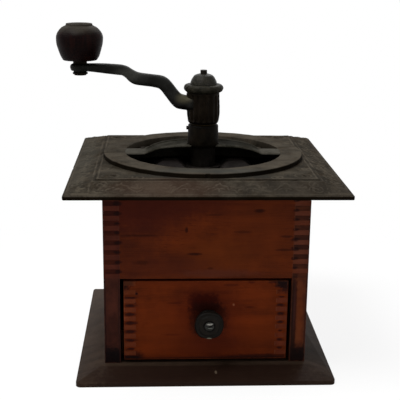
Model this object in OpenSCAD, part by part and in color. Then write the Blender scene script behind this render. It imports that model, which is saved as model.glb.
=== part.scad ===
// Manual coffee grinder: a finger-jointed wooden box with a drawer, a cast-iron top plate
// with a sunken hopper whose rear half is covered, and a crank that turns a burr on a shaft.
// Millimetres, +Z up. The origin is the middle of the base board's underside, and the
// drawer opens towards -Y. At rest the crank lies along -X.

/* [Case] */
// Side of the square base board
base_w = 178; // [172:1:190]
// Height of the base board
base_h = 9; // [8:0.5:12]
// Height of the base board's upright edge below the bevel
base_lip = 3; // [2:0.5:5]
// Side of the square box
box_w = 140; // [138:0.5:144]
// Thickness of the four box walls
wall_t = 11; // [10:0.5:11.5]
// Height of the box between base board and top plate
box_h = 124.2; // [122:0.1:140]
// Height of the front panel above the drawer
panel_h = 61.9; // [55:0.1:62]
// Finger pairs on each end of the front panel
panel_fingers = 9; // [5:1:12]
// Finger pairs on each end of the back panel
back_fingers = 18; // [10:1:24]

/* [Drawer] */
// Outer width of the drawer
drawer_w = 113; // [108:0.5:113.5]
// Height of the drawer
drawer_h = 58; // [48:0.5:58]
// Outer length of the drawer
drawer_len = 126; // [110:1:127]
// Thickness of the drawer sides and back
drawer_side_t = 8; // [6:0.5:9]
// Thickness of the drawer front
drawer_front_t = 9.5; // [8:0.5:11]
// Thickness of the drawer floor
drawer_floor_t = 4; // [3:0.5:5]
// Finger pairs on each corner of the drawer
drawer_fingers = 9; // [5:1:11]
// Diameter of the drawer pull
pull_d = 20.6; // [16:0.5:24]
// Reach of the drawer pull in front of the drawer
pull_reach = 13; // [11:0.5:16]
// Distance of the pull to the right of the middle
pull_side = 1.8; // [-2:0.1:2]
// Height of the pull above the table
pull_z = 41.3; // [36:0.5:45]

/* [Top plate] */
// Side of the square top plate
plate_w = 188.2; // [184:0.1:196]
// Thickness of the plate at its rim
rim_t = 2.5; // [2:0.1:4]
// Width of the sloping border around the flat middle
border_w = 20; // [16:0.5:21]
// Height that the border climbs
border_rise = 6; // [5.6:0.1:8]
// Outer radius of the raised hopper ring
ring_r = 72.7; // [71:0.1:73.2]
// Height of the hopper ring above the flat middle
ring_rise = 3.3; // [3:0.1:3.6]
// Radius of the hopper mouth
mouth_r = 57; // [56.7:0.1:57.3]

/* [Cover] */
// Half width of the arch over the strip that crosses the mouth
arch_r = 42.5; // [41:0.1:43.5]
// Height of the arch above the hopper ring
arch_rise = 5.7; // [5:0.1:6.2]
// Width of the strip at its two ends
strip_w = 16; // [15:0.5:17]
// How much deeper the arch is in its middle than the strip
arch_bulge = 9; // [7:0.5:10]
// Thickness of the cover casting
cover_t = 2; // [1.8:0.1:2.2]

/* [Mill] */
// Radius of the post that carries the shaft
post_r = 9.05; // [8.5:0.05:9.2]
// Radius of the shaft
shaft_r = 5; // [4.5:0.1:5.2]
// Outer radius of the adjusting collar
collar_r = 11.3; // [10.6:0.1:11.4]
// Height of the adjusting collar
collar_h = 16.4; // [15:0.1:18]
// Radius of the hopper bowl where the funnel starts
bowl_r = 43; // [42:0.5:44]
// Radius of the bowl's throat
throat_r = 19; // [18.8:0.1:20]
// Number of cutting grooves on each burr
burr_teeth = 20; // [14:2:24]

/* [Crank] */
// Distance from the shaft to the knob
crank_reach = 88.4; // [86:0.1:91]
// Largest radius of the crank hub
hub_r = 12; // [11.4:0.1:12]
// Number of flutes around the hub
hub_flutes = 16; // [10:1:20]
// Largest radius of the turned knob
knob_r = 16.6; // [14:0.1:18]
// Height of the turned knob
knob_h = 25.8; // [22:0.1:30]

/* [Hidden] */
$fn = 64;

// Running clearance of a shaft or a pin in its hole, and of a wooden slide
run = 0.06;
slide_gap = 0.3;
// A cut goes this far past the face it opens
past = 1;

// Heights of the case
plate_z = base_h + box_h;
panel_z = plate_z - panel_h;
inner_half = box_w / 2 - wall_t;
bevel_top_half = box_w / 2 + 0.8;
runner_h = 2.2;
runner_w = 12;
runner_lip_w = 2;
runner_lip_h = 18;
runner_len = 114;

// Drawer position and parts
drawer_z = base_h + runner_h + slide_gap;
drawer_front_y = -box_w / 2;
drawer_half = drawer_w / 2;
floor_z = drawer_z + 3;
groove_d = 3;
pull_neck_r = 4.6;
pull_screw_r = 2;
pull_head_r = 3.2;
nut_h = 2.6;

// Heights and sizes of the top plate
rim_z = plate_z + rim_t;
flat_z = rim_z + border_rise + 0.5;
ring_z = flat_z + ring_rise;
flat_half = plate_w / 2 - border_w;
pocket_z = flat_z - 3.7;
pocket_half = inner_half - 0.6;
rim_corner_r = 2.5;
cover_screw_r = 1.2;
cover_screw_d = mouth_r - 2.4;

// The cover: an arched strip across the mouth, with a sunken floor behind it
strip_half = strip_w / 2;
bulge_r = (arch_r * arch_r + arch_bulge * arch_bulge) / (2 * arch_bulge);
bulge_y = strip_half + arch_bulge - bulge_r;
arch_power = 4;
arch_steps = 28;
cover_floor_t = 1.8;
cover_floor_z = pocket_z + cover_floor_t;
cover_hole_gap = 0.5;

// Bowl, bridge and burrs
bowl_t = 3;
bowl_mouth_r = 50;
shelf_z = pocket_z - 10.5;
throat_z = shelf_z - 30;
flange_half = pocket_half - 1.4;
flange_t = 3;
bowl_screw_xy = 48.5;
foot_flange_r = 32;
foot_z = throat_z - 4;
boss_r = 13;
boss_z = throat_z + 24;
arm_mid = 24.5;
arm_arch_r = 15.5;
arm_arch_z = boss_z + 2;
arm_arch_t = 6;
arm_half_w = 12;
arm_back_r = 17;
arm_in_x = 10;
arm_out_x = 37;
pad_t = 3.5;
pad_screw_x = 45.5;
pad_screw_r = 1.6;
burr_top_z = foot_z + 3;
burr_h = 18;
burr_low_z = foot_z - 14;
outer_burr_z = foot_z - burr_h;
outer_burr_r = 23;
burr_bore_r = 17.7;
bar_t = 3.6;
bar_z = outer_burr_z - bar_t;
bar_half = 25;
bar_w = 12;
bar_screw_x = 20.4;
shaft_low_r = 4;

// Heights up the column
collar_z = ring_z + 3.5;
collar_top = collar_z + collar_h;
post_top = collar_top - 1.8;
washer_z = collar_top + 0.1;
washer_t = 0.9;
hub_z = washer_z + washer_t + 0.1;
hub_h = 22.6;
cap_z = hub_z + hub_h;
cap_h = 5.4;
cap_r = 14.25;
nut_z = cap_z + cap_h;
dome_h = 7.6;
stud_r = 2.4;
stud_top = nut_z + dome_h + 2.6;
set_pin_r = 1.3;
set_pin_z = collar_top - 2.8;

// Crank arm: top and bottom edge as distance from the axis and height above the hub's foot
arm_top_edge = [
    [5, 18.5], [12.5, 19.5], [16.7, 21], [19.2, 24.1], [23.2, 29.2], [26.6, 32.6], [30.8, 34.2],
    [40, 35.2], [49.3, 36.9], [56.9, 41.1], [62, 41.9], [72, 42.4], [crank_reach, 42.2]
];
arm_low_edge = [
    [crank_reach, 37.3], [80, 36.6], [71, 35.5], [61, 34.4], [57.6, 33.8], [54.3, 30], [49.3, 27.4],
    [44.3, 26.8], [36, 25.7], [31.8, 24.8], [27.7, 19.4], [23.5, 14.1], [20.3, 11], [15.2, 9.9], [5, 9.5]
];
arm_plan = [[5, 6.5], [14, 6.2], [22, 5.2], [40, 4.6], [60, 4.4], [76, 4.8], [crank_reach, 5.6]];
eye_r = 7.2;
eye_top = hub_z + 42.2;
eye_low = hub_z + 37.3;
pin_r = 2.5;
eye_boss_r = 4.5;
eye_boss_z = eye_low - 1.2;
knob_washer_t = 1.1;
ferrule_h = 2.3;
ferrule_r = 4.9;
knob_z = eye_top + ferrule_h + 0.2;
pin_top_z = knob_z + knob_h - 2.3;

// Turned knob: radius and height as shares of the largest radius and of the height
knob_curve = [
    [0.72, 0], [0.8, 0.09], [0.87, 0.2], [0.925, 0.31], [0.975, 0.43],
    [1, 0.55], [0.99, 0.66], [0.92, 0.77], [0.77, 0.88], [0.6, 0.945], [0.555, 0.985]
];

// Case screws
wood_screw_r = 2;
wood_head_r = 4;
plate_screw_xy = box_w / 2 - wall_t / 2;
plate_screw_len = 24;
base_screw_y = 48;
base_screw_len = 28;

// A point between b and c on the smooth curve through a, b, c and d
function curve_point(a, b, c, d, t) =
    0.5 * (2 * b + (c - a) * t + (2 * a - 5 * b + 4 * c - d) * t * t
    + (3 * b - a - 3 * c + d) * t * t * t);

// A smooth curve through all points, with steps pieces between each two
function smooth(points, steps) = [
    for (i = [0 : len(points) - 2])
        for (s = [0 : steps - 1])
            curve_point(points[max(i - 1, 0)], points[i], points[i + 1],
                points[min(i + 2, len(points) - 1)], s / steps),
    points[len(points) - 1]
];

// Top edge of the arched strip from its right end to its left end, lowered by drop
function arch_edge(drop) = concat(
    [[mouth_r + past, ring_z - drop]],
    [
        for (i = [0 : arch_steps])
            let (x = arch_r * (1 - 2 * i / arch_steps))
            [x, ring_z - drop + arch_rise * (1 - pow(abs(x) / arch_r, arch_power))]
    ],
    [[-mouth_r - past, ring_z - drop]]
);

function reversed(points) = [for (i = [len(points) - 1 : -1 : 0]) points[i]];

// Funnel of the bowl: radius grows with height above the throat; add moves it out and down
function funnel(add) = [
    for (s = [0 : 8])
        [
            throat_r + add + (bowl_r - throat_r) * pow(s / 8, 0.7),
            throat_z + (shelf_z - add - throat_z) * s / 8
        ]
];

module rounded_square(w, r) {
    square([w, w - 2 * r], center = true);
    square([w - 2 * r, w], center = true);
    for (x = [-1, 1], y = [-1, 1])
        translate([x * (w / 2 - r), y * (w / 2 - r)]) circle(r);
}

// A shape with the same outline seen along X and along Y
module both_ways(length) {
    intersection() {
        rotate([90, 0, 0]) linear_extrude(length, center = true) children();
        rotate([90, 0, 90]) linear_extrude(length, center = true) children();
    }
}

// Slots of finger joints: the lower or the upper half of each pitch. The slot at the board's
// own end runs out past it.
module finger_slots(size_x, size_y, height, pairs, upper) {
    pitch = height / pairs;
    for (i = [0 : pairs - 1]) {
        low = upper ? (i + 0.5) * pitch : i == 0 ? -past : i * pitch;
        high = !upper ? (i + 0.5) * pitch : i == pairs - 1 ? height + past : (i + 1) * pitch;
        translate([0, 0, low]) cube([size_x, size_y, high - low]);
    }
}

module at_corners(x, y) {
    for (sx = [-1, 1], sy = [-1, 1])
        translate([sx * x, sy * y, 0]) children();
}

// Room for the long screws that hold the plate and the base board to the box
module case_screw_holes() {
    at_corners(plate_screw_xy, plate_screw_xy)
        translate([0, 0, flat_z - plate_screw_len]) cylinder(r = wood_screw_r, h = plate_screw_len + past);
    at_corners(plate_screw_xy, base_screw_y)
        translate([0, 0, -past]) cylinder(r = wood_screw_r, h = base_screw_len + past);
}

module base_board() {
    half = base_w / 2;
    color([0.24, 0.17, 0.13])
        difference() {
            intersection() {
                both_ways(base_w)
                    polygon([
                        [-half, 0], [half, 0], [half, base_lip], [bevel_top_half, base_h],
                        [-bevel_top_half, base_h], [-half, base_lip]
                    ]);
                linear_extrude(base_h) rounded_square(base_w, 3.5);
            }
            case_screw_holes();
            at_corners(plate_screw_xy, base_screw_y)
                translate([0, 0, -past]) cylinder(r = wood_head_r, h = past + 2.4);
        }
}

// A side wall with its inner face at x = inner_half
module side_wall() {
    difference() {
        translate([inner_half, -box_w / 2, base_h]) cube([wall_t, box_w, box_h]);
        translate([inner_half, -box_w / 2 - past, panel_z])
            finger_slots(wall_t + past, wall_t + past, panel_h, panel_fingers, true);
        translate([inner_half, inner_half, base_h])
            finger_slots(wall_t + past, wall_t + past, box_h, back_fingers, true);
        case_screw_holes();
    }
}

module left_side() {
    color([0.32, 0.14, 0.08]) mirror([1, 0, 0]) side_wall();
}

module right_side() {
    color([0.34, 0.15, 0.08]) side_wall();
}

// A wall across the box from height low, its outer face at y = -box_w / 2
module cross_wall(low, height, pairs) {
    difference() {
        translate([-box_w / 2, -box_w / 2, low]) cube([box_w, wall_t, height]);
        for (x = [-box_w / 2 - past, inner_half])
            translate([x, -box_w / 2 - past, low])
                finger_slots(wall_t + past, wall_t + 2 * past, height, pairs, false);
        case_screw_holes();
    }
}

module front_panel() {
    color([0.4, 0.17, 0.07]) cross_wall(panel_z, panel_h, panel_fingers);
}

module back_panel() {
    color([0.36, 0.15, 0.08]) rotate([0, 0, 180]) cross_wall(base_h, box_h, back_fingers);
}

// Runner with a lip that guides the drawer side
module runner() {
    translate([inner_half - runner_w, inner_half - runner_len, base_h]) {
        cube([runner_w, runner_len, runner_h]);
        translate([runner_w - runner_lip_w, 0, 0]) cube([runner_lip_w, runner_len, runner_lip_h]);
    }
}

module left_runner() {
    color([0.3, 0.16, 0.1]) mirror([1, 0, 0]) runner();
}

module right_runner() {
    color([0.3, 0.16, 0.1]) runner();
}

module cover_screw_places() {
    for (a = [35, 90, 145])
        rotate([0, 0, a]) translate([cover_screw_d, 0, 0]) children();
}

module top_plate() {
    half = plate_w / 2;
    color([0.25, 0.22, 0.19])
        difference() {
            union() {
                intersection() {
                    both_ways(plate_w)
                        polygon([
                            [-half, plate_z], [half, plate_z], [half, rim_z], [flat_half, flat_z - 0.5],
                            [flat_half, flat_z], [-flat_half, flat_z], [-flat_half, flat_z - 0.5],
                            [-half, rim_z]
                        ]);
                    linear_extrude(flat_z) rounded_square(plate_w, rim_corner_r);
                }
                translate([0, 0, flat_z - past])
                    rotate_extrude($fn = 96)
                        polygon([
                            [mouth_r - 8, 0], [ring_r, 0], [ring_r, past + ring_rise - 0.6],
                            [ring_r - 0.6, past + ring_rise], [mouth_r - 8, past + ring_rise]
                        ]);
            }
            translate([-pocket_half, -pocket_half, plate_z - past])
                cube([2 * pocket_half, 2 * pocket_half, pocket_z - plate_z + past]);
            translate([0, 0, plate_z]) cylinder(r = mouth_r, h = ring_z, $fn = 96);
            translate([0, -ring_r - 0.4, flat_z]) cylinder(r = 1.6, h = ring_rise + past);
            case_screw_holes();
            at_corners(plate_screw_xy, plate_screw_xy)
                translate([0, 0, flat_z - 2.4]) cylinder(r1 = wood_screw_r, r2 = wood_head_r, h = 2.4);
            at_corners(plate_screw_xy, plate_screw_xy)
                translate([0, 0, flat_z]) cylinder(r = wood_head_r, h = past);
            at_corners(bowl_screw_xy, bowl_screw_xy)
                translate([0, 0, pocket_z - past]) cylinder(r = wood_screw_r, h = past + 2.6);
        }
}

module plate_screws() {
    color([0.2, 0.18, 0.16])
        at_corners(plate_screw_xy, plate_screw_xy)
            difference() {
                union() {
                    translate([0, 0, flat_z - plate_screw_len])
                        cylinder(r = wood_screw_r, h = plate_screw_len);
                    translate([0, 0, flat_z - 2.4]) cylinder(r1 = wood_screw_r, r2 = wood_head_r, h = 2.4);
                }
                translate([-wood_head_r, -0.5, flat_z - 0.9]) cube([2 * wood_head_r, 1, 2]);
            }
}

module base_screws() {
    color([0.2, 0.18, 0.16])
        at_corners(plate_screw_xy, base_screw_y)
            difference() {
                union() {
                    translate([0, 0, 1]) cylinder(r = wood_screw_r, h = base_screw_len - 1);
                    translate([0, 0, 0.8]) cylinder(r = wood_head_r, h = 1.6);
                }
                translate([-wood_head_r, -0.5, 0.7]) cube([2 * wood_head_r, 1, 0.8]);
            }
}

module hopper_bowl() {
    color([0.16, 0.15, 0.14])
        difference() {
            union() {
                difference() {
                    translate([0, 0, pocket_z - flange_t])
                        linear_extrude(flange_t) rounded_square(2 * flange_half, 6);
                    translate([0, 0, shelf_z])
                        cylinder(r = bowl_mouth_r + bowl_t / 2, h = pocket_z, $fn = 96);
                }
                rotate_extrude($fn = 96)
                    polygon(concat(
                        [[throat_r, foot_z]], funnel(0),
                        [[bowl_mouth_r, shelf_z], [bowl_mouth_r, pocket_z - 1],
                        [bowl_mouth_r + bowl_t, pocket_z - 1], [bowl_mouth_r + bowl_t, shelf_z - bowl_t]],
                        reversed(funnel(bowl_t)), [[foot_flange_r, throat_z], [foot_flange_r, foot_z]]
                    ));
            }
            at_corners(bowl_screw_xy, bowl_screw_xy)
                translate([0, 0, pocket_z - flange_t - past])
                    cylinder(r = wood_screw_r, h = flange_t + 2 * past);
            cover_screw_places()
                translate([0, 0, pocket_z - flange_t - past])
                    cylinder(r = cover_screw_r, h = flange_t + 2 * past);
            for (side = [-1, 1])
                translate([side * pad_screw_x, 0, shelf_z - 12]) cylinder(r = pad_screw_r, h = 12 + past);
            burr_screw_places()
                translate([0, 0, foot_z - past]) cylinder(r = pad_screw_r, h = 6);
        }
}

module bowl_screws() {
    color([0.2, 0.18, 0.16])
        at_corners(bowl_screw_xy, bowl_screw_xy) {
            translate([0, 0, pocket_z - flange_t - 0.5])
                cylinder(r = wood_screw_r, h = flange_t + 0.5 + 2.4);
            translate([0, 0, pocket_z - flange_t - 2.6]) cylinder(r = wood_head_r, h = 2.6);
        }
}

// Everything under the arched strip's top, lowered by drop, along the whole mouth
module under_arch(drop) {
    rotate([90, 0, 0])
        linear_extrude(2 * mouth_r, center = true)
            polygon(concat(
                arch_edge(drop), [[-mouth_r - past, pocket_z - 2], [mouth_r + past, pocket_z - 2]]
            ));
}

// Ground plan of the strip from y = front to its bulging back edge, drawn in by inset at the back
module strip_plan(front, inset) {
    height = ring_z + arch_rise - pocket_z + 3 * past;
    translate([0, 0, pocket_z - past]) {
        translate([-mouth_r - past, front, 0])
            cube([2 * mouth_r + 2 * past, strip_half - inset - front, height]);
        intersection() {
            translate([0, bulge_y, 0]) cylinder(r = bulge_r - inset, h = height, $fn = 128);
            translate([-arch_r - 2, 0, 0]) cube([2 * arch_r + 4, mouth_r, height]);
        }
    }
}

module rear_cover() {
    color([0.24, 0.22, 0.19])
        difference() {
            intersection() {
                translate([0, 0, pocket_z]) cylinder(r = mouth_r, h = 3 * arch_rise, $fn = 96);
                union() {
                    intersection() {
                        under_arch(0);
                        strip_plan(-strip_half, 0);
                    }
                    translate([-mouth_r - past, 0, pocket_z - past])
                        cube([2 * mouth_r + 2 * past, mouth_r + past, cover_floor_t + past]);
                }
            }
            intersection() {
                under_arch(cover_t);
                strip_plan(-strip_half - past, cover_t);
            }
            translate([0, 0, pocket_z - past])
                cylinder(r = collar_r + cover_hole_gap, h = 4 * arch_rise);
            cover_screw_places()
                translate([0, 0, pocket_z - past]) cylinder(r = cover_screw_r, h = 10);
        }
}

module cover_screws() {
    color([0.2, 0.18, 0.16])
        cover_screw_places() {
            translate([0, 0, pocket_z - flange_t - 0.5])
                cylinder(r = cover_screw_r, h = flange_t + 0.5 + cover_floor_t);
            translate([0, 0, cover_floor_z]) cylinder(r = 1.9, h = 1);
        }
}

// One arched arm of the bridge, towards +X, its back rounded along and across
module bridge_arm() {
    difference() {
        intersection() {
            translate([arm_mid, 0, arm_arch_z])
                rotate([90, 0, 0]) cylinder(r = arm_arch_r, h = 2 * arm_half_w, center = true);
            translate([0, 0, arm_arch_z + arm_arch_r - arm_back_r])
                rotate([0, 90, 0]) cylinder(r = arm_back_r, h = bowl_r);
            translate([arm_in_x, -arm_half_w, arm_arch_z]) cube([arm_out_x - arm_in_x, 2 * arm_half_w, 20]);
        }
        translate([arm_mid, 0, arm_arch_z])
            rotate([90, 0, 0])
                cylinder(r = arm_arch_r - arm_arch_t, h = 2 * arm_half_w + past, center = true);
    }
    intersection() {
        translate([arm_out_x - 3, -9, shelf_z]) cube([20, 18, pad_t]);
        translate([0, 0, shelf_z]) cylinder(r = bowl_mouth_r - 0.3, h = pad_t);
    }
}

module bearing_bridge() {
    color([0.3, 0.29, 0.28])
        difference() {
            union() {
                translate([0, 0, boss_z]) cylinder(r = boss_r, h = shelf_z + 7 - boss_z);
                translate([0, 0, boss_z]) cylinder(r = post_r, h = post_top - boss_z);
                bridge_arm();
                mirror([1, 0, 0]) bridge_arm();
            }
            translate([0, 0, boss_z - past]) cylinder(r = shaft_r + run, h = post_top - boss_z + 2 * past);
            for (side = [-1, 1])
                translate([side * pad_screw_x, 0, shelf_z - past])
                    cylinder(r = pad_screw_r, h = pad_t + 2 * past);
        }
}

module bridge_screws() {
    color([0.2, 0.18, 0.16])
        for (side = [-1, 1])
            translate([side * pad_screw_x, 0, 0]) {
                translate([0, 0, shelf_z - 4]) cylinder(r = pad_screw_r, h = pad_t + 4.5);
                translate([0, 0, shelf_z + pad_t]) cylinder(r = 3, h = 2);
            }
}

module burr_screw_places() {
    for (a = [90 : 120 : 330])
        rotate([0, 0, a]) translate([27.5, 0, 0]) children();
}

module outer_burr() {
    color([0.33, 0.32, 0.3])
        difference() {
            union() {
                translate([0, 0, foot_z - 4]) cylinder(r = foot_flange_r, h = 4);
                translate([0, 0, outer_burr_z]) cylinder(r = outer_burr_r, h = burr_h);
            }
            translate([0, 0, outer_burr_z - past])
                cylinder(r1 = burr_bore_r, r2 = burr_bore_r + 0.9, h = burr_h + 2 * past);
            for (i = [0 : burr_teeth - 1])
                rotate([0, 0, (i + 0.5) * 360 / burr_teeth])
                    translate([burr_bore_r + 0.5, 0, outer_burr_z - past])
                        cylinder(r = 1.1, h = burr_h + 2 * past, $fn = 16);
            burr_screw_places()
                translate([0, 0, foot_z - 4 - past]) cylinder(r = pad_screw_r, h = 4 + 2 * past);
            for (side = [-1, 1])
                translate([side * bar_screw_x, 0, outer_burr_z - past]) cylinder(r = 1.2, h = 7);
        }
}

module burr_screws() {
    color([0.2, 0.18, 0.16])
        burr_screw_places() {
            translate([0, 0, foot_z - 4.5]) cylinder(r = pad_screw_r, h = 4.5 + 4.6);
            translate([0, 0, foot_z - 6.4]) cylinder(r = 3.2, h = 2.4);
        }
}

module bottom_bearing() {
    color([0.28, 0.26, 0.24])
        difference() {
            union() {
                translate([-bar_half, -bar_w / 2, bar_z]) cube([2 * bar_half, bar_w, bar_t]);
                translate([0, 0, bar_z]) cylinder(r = 8, h = bar_t);
            }
            translate([0, 0, bar_z - past]) cylinder(r = shaft_low_r + run, h = bar_t + 2 * past);
            for (side = [-1, 1])
                translate([side * bar_screw_x, 0, bar_z - past]) cylinder(r = 1.2, h = bar_t + 2 * past);
        }
}

module bearing_screws() {
    color([0.2, 0.18, 0.16])
        for (side = [-1, 1])
            translate([side * bar_screw_x, 0, 0]) {
                translate([0, 0, bar_z - 0.5]) cylinder(r = 1.2, h = bar_t + 6);
                translate([0, 0, bar_z - 1.4]) cylinder(r = 2.3, h = 1.4);
            }
}

module thrust_washer() {
    color([0.45, 0.4, 0.3])
        difference() {
            translate([0, 0, washer_z]) cylinder(r = 9.6, h = washer_t);
            translate([0, 0, washer_z - past]) cylinder(r = shaft_r + 0.08, h = washer_t + 2 * past);
        }
}

module adjusting_collar() {
    color([0.2, 0.17, 0.15])
        difference() {
            rotate_extrude()
                polygon([
                    [post_r + run, collar_z], [collar_r - 1.2, collar_z], [collar_r, collar_z + 1.8],
                    [collar_r - 0.4, collar_top - 0.4], [collar_r - 0.8, collar_top],
                    [shaft_r + 0.5, collar_top], [shaft_r + 0.5, collar_top - 1.4],
                    [post_r + run, collar_top - 1.4]
                ]);
            translate([-post_r, 0, set_pin_z]) rotate([0, -90, 0]) cylinder(r = set_pin_r, h = 6, $fn = 24);
        }
}

module collar_pin() {
    color([0.22, 0.19, 0.17])
        translate([-post_r - 0.3, 0, set_pin_z])
            rotate([0, -90, 0]) cylinder(r = set_pin_r, h = 2.9, $fn = 24);
}

// Outline of the arm seen from the side, as distance from the axis and height
module arm_side_view() {
    outline = concat(smooth(arm_top_edge, 4), smooth(arm_low_edge, 4));
    polygon([for (p = outline) [-p[0], p[1] + hub_z]]);
}

// Outline of the arm seen from above
module arm_plan_view() {
    edge = smooth(arm_plan, 4);
    polygon(concat([for (p = edge) [-p[0], p[1]]], [for (p = reversed(edge)) [-p[0], -p[1]]]));
}

module crank_arm() {
    color([0.19, 0.18, 0.17])
        difference() {
            union() {
                rotate_extrude()
                    polygon([
                        [shaft_r + 0.02, hub_z], [hub_r - 1.3, hub_z], [hub_r - 0.7, hub_z + 2],
                        [hub_r, hub_z + 7], [hub_r - 0.2, hub_z + 15], [hub_r - 0.3, cap_z - 3],
                        [hub_r - 0.6, cap_z], [shaft_r + 0.02, cap_z]
                    ]);
                difference() {
                    intersection() {
                        rotate([90, 0, 0]) linear_extrude(20, center = true) arm_side_view();
                        translate([0, 0, hub_z]) linear_extrude(60) arm_plan_view();
                    }
                    cylinder(r = hub_r - 3, h = 2 * hub_z);
                }
                translate([-crank_reach, 0, eye_low]) cylinder(r = eye_r, h = eye_top - eye_low);
                translate([-crank_reach, 0, eye_boss_z]) cylinder(r = eye_boss_r, h = 3);
            }
            for (i = [0 : hub_flutes - 1])
                rotate([0, 0, (i + 0.5) * 360 / hub_flutes])
                    translate([hub_r + 0.5, 0, hub_z + 2])
                        cylinder(r = 1.2, h = i == 7 || i == 8 ? 4 : hub_h - 4, $fn = 16);
            translate([-crank_reach, 0, eye_boss_z - past]) cylinder(r = pin_r, h = 20);
            translate([-crank_reach, 0, eye_top]) cylinder(r = eye_r, h = 2);
        }
}

module crank_shaft() {
    color([0.34, 0.33, 0.31])
        difference() {
            union() {
                translate([0, 0, bar_z + 0.3]) cylinder(r = shaft_low_r, h = burr_low_z - bar_z);
                translate([0, 0, burr_low_z]) cylinder(r = shaft_r, h = nut_z - burr_low_z);
                translate([0, 0, nut_z - past]) cylinder(r = stud_r, h = stud_top - nut_z + past);
            }
            translate([0, 0, burr_top_z - 3.5]) rotate([90, 0, 0]) cylinder(r = 1.2, h = 40, center = true);
        }
}

module inner_burr() {
    low_r = 16.5;
    top_r = 8.2;
    height = burr_top_z - burr_low_z;
    lean = atan((low_r - top_r) / height);
    color([0.36, 0.35, 0.33])
        difference() {
            translate([0, 0, burr_low_z]) cylinder(r1 = low_r, r2 = top_r, h = height);
            translate([0, 0, burr_low_z - past]) cylinder(r = shaft_r, h = height + 2 * past);
            for (i = [0 : burr_teeth - 1])
                rotate([0, 0, i * 360 / burr_teeth])
                    translate([low_r + 0.4, 0, burr_low_z])
                        rotate([0, -lean, 0]) cylinder(r = 1, h = 0.7 * height, $fn = 16);
            translate([0, 0, burr_top_z - 3.5]) rotate([90, 0, 0]) cylinder(r = 1.2, h = 40, center = true);
        }
}

module burr_pin() {
    color([0.3, 0.29, 0.27])
        translate([0, 0, burr_top_z - 3.5]) rotate([90, 0, 0]) cylinder(r = 1.2, h = 17, center = true);
}

module cap_ring() {
    bead = cap_h / 2;
    color([0.28, 0.26, 0.23])
        difference() {
            union() {
                translate([0, 0, cap_z + bead]) rotate_extrude() translate([cap_r - bead, 0]) circle(bead);
                translate([0, 0, cap_z]) cylinder(r = cap_r - bead, h = cap_h);
            }
            translate([0, 0, cap_z - past]) cylinder(r = shaft_r, h = cap_h + 2 * past);
        }
}

module dome_nut() {
    color([0.31, 0.3, 0.27])
        translate([0, 0, nut_z])
            rotate_extrude()
                polygon(concat(
                    [[stud_r, 0], [9.9, 0]],
                    [for (p = smooth([[9.7, 0.8], [9.4, 2], [8.7, 3.5], [7.8, 5], [6.4, 6.5], [3.6, dome_h]], 4)) p],
                    [[stud_r, dome_h]]
                ));
}

module knob_pin() {
    color([0.26, 0.24, 0.22])
        translate([-crank_reach, 0, 0]) {
            translate([0, 0, eye_boss_z - knob_washer_t - 0.8])
                cylinder(r = pin_r, h = pin_top_z - eye_boss_z + knob_washer_t + 1.4);
            translate([0, 0, eye_boss_z - knob_washer_t - 0.8]) cylinder(r = 4.3, h = 0.8);
            translate([0, 0, pin_top_z + 0.3]) cylinder(r1 = 4.8, r2 = 3.6, h = 1.1);
        }
}

module knob_washer() {
    color([0.24, 0.22, 0.2])
        translate([-crank_reach, 0, eye_boss_z - knob_washer_t])
            difference() {
                cylinder(r = 5.3, h = knob_washer_t);
                translate([0, 0, -past]) cylinder(r = pin_r, h = knob_washer_t + 2 * past);
            }
}

module knob_ferrule() {
    color([0.22, 0.2, 0.18])
        translate([-crank_reach, 0, eye_top])
            difference() {
                rotate_extrude()
                    polygon([
                        [0, 0], [ferrule_r + 0.5, 0], [ferrule_r, 0.6], [ferrule_r, ferrule_h - 0.5],
                        [ferrule_r + 0.4, ferrule_h], [0, ferrule_h]
                    ]);
                translate([0, 0, -past]) cylinder(r = pin_r, h = ferrule_h + 2 * past);
            }
}

module crank_knob() {
    profile = [for (p = smooth(knob_curve, 3)) [p[0] * knob_r, p[1] * knob_h]];
    color([0.1, 0.06, 0.045])
        translate([-crank_reach, 0, knob_z])
            difference() {
                rotate_extrude()
                    polygon(concat(
                        [[0, 0.6], [8, 0.4]], profile,
                        [[0.54 * knob_r, knob_h], [0.46 * knob_r, knob_h], [0.42 * knob_r, knob_h - 0.6],
                        [0, knob_h - 0.6]]
                    ));
                translate([0, 0, -past]) cylinder(r = pin_r + run, h = knob_h + 2 * past);
                translate([0, 0, pin_top_z - knob_z]) cylinder(r = 5.3, h = knob_h);
            }
}

// Groove inside the drawer for the floor
module floor_groove() {
    translate([-drawer_half + drawer_side_t - groove_d, drawer_front_y + drawer_front_t - groove_d, floor_z])
        cube([
            drawer_w - 2 * drawer_side_t + 2 * groove_d,
            drawer_len - drawer_front_t - drawer_side_t + 2 * groove_d, drawer_floor_t
        ]);
}

// A cross board of the drawer from y = near to y = near + thick
module drawer_cross(near, thick) {
    difference() {
        translate([-drawer_half, near, drawer_z]) cube([drawer_w, thick, drawer_h]);
        for (x = [-drawer_half - past, drawer_half - drawer_side_t])
            translate([x, near - past, drawer_z])
                finger_slots(drawer_side_t + past, thick + 2 * past, drawer_h, drawer_fingers, true);
        floor_groove();
    }
}

// A side of the drawer, on the +X side
module drawer_side() {
    back_y = drawer_front_y + drawer_len - drawer_side_t;
    difference() {
        translate([drawer_half - drawer_side_t, drawer_front_y, drawer_z])
            cube([drawer_side_t, drawer_len, drawer_h]);
        translate([drawer_half - drawer_side_t, drawer_front_y - past, drawer_z])
            finger_slots(drawer_side_t + past, drawer_front_t + past, drawer_h, drawer_fingers, false);
        translate([drawer_half - drawer_side_t, back_y, drawer_z])
            finger_slots(drawer_side_t + past, drawer_side_t + past, drawer_h, drawer_fingers, false);
        floor_groove();
    }
}

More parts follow.
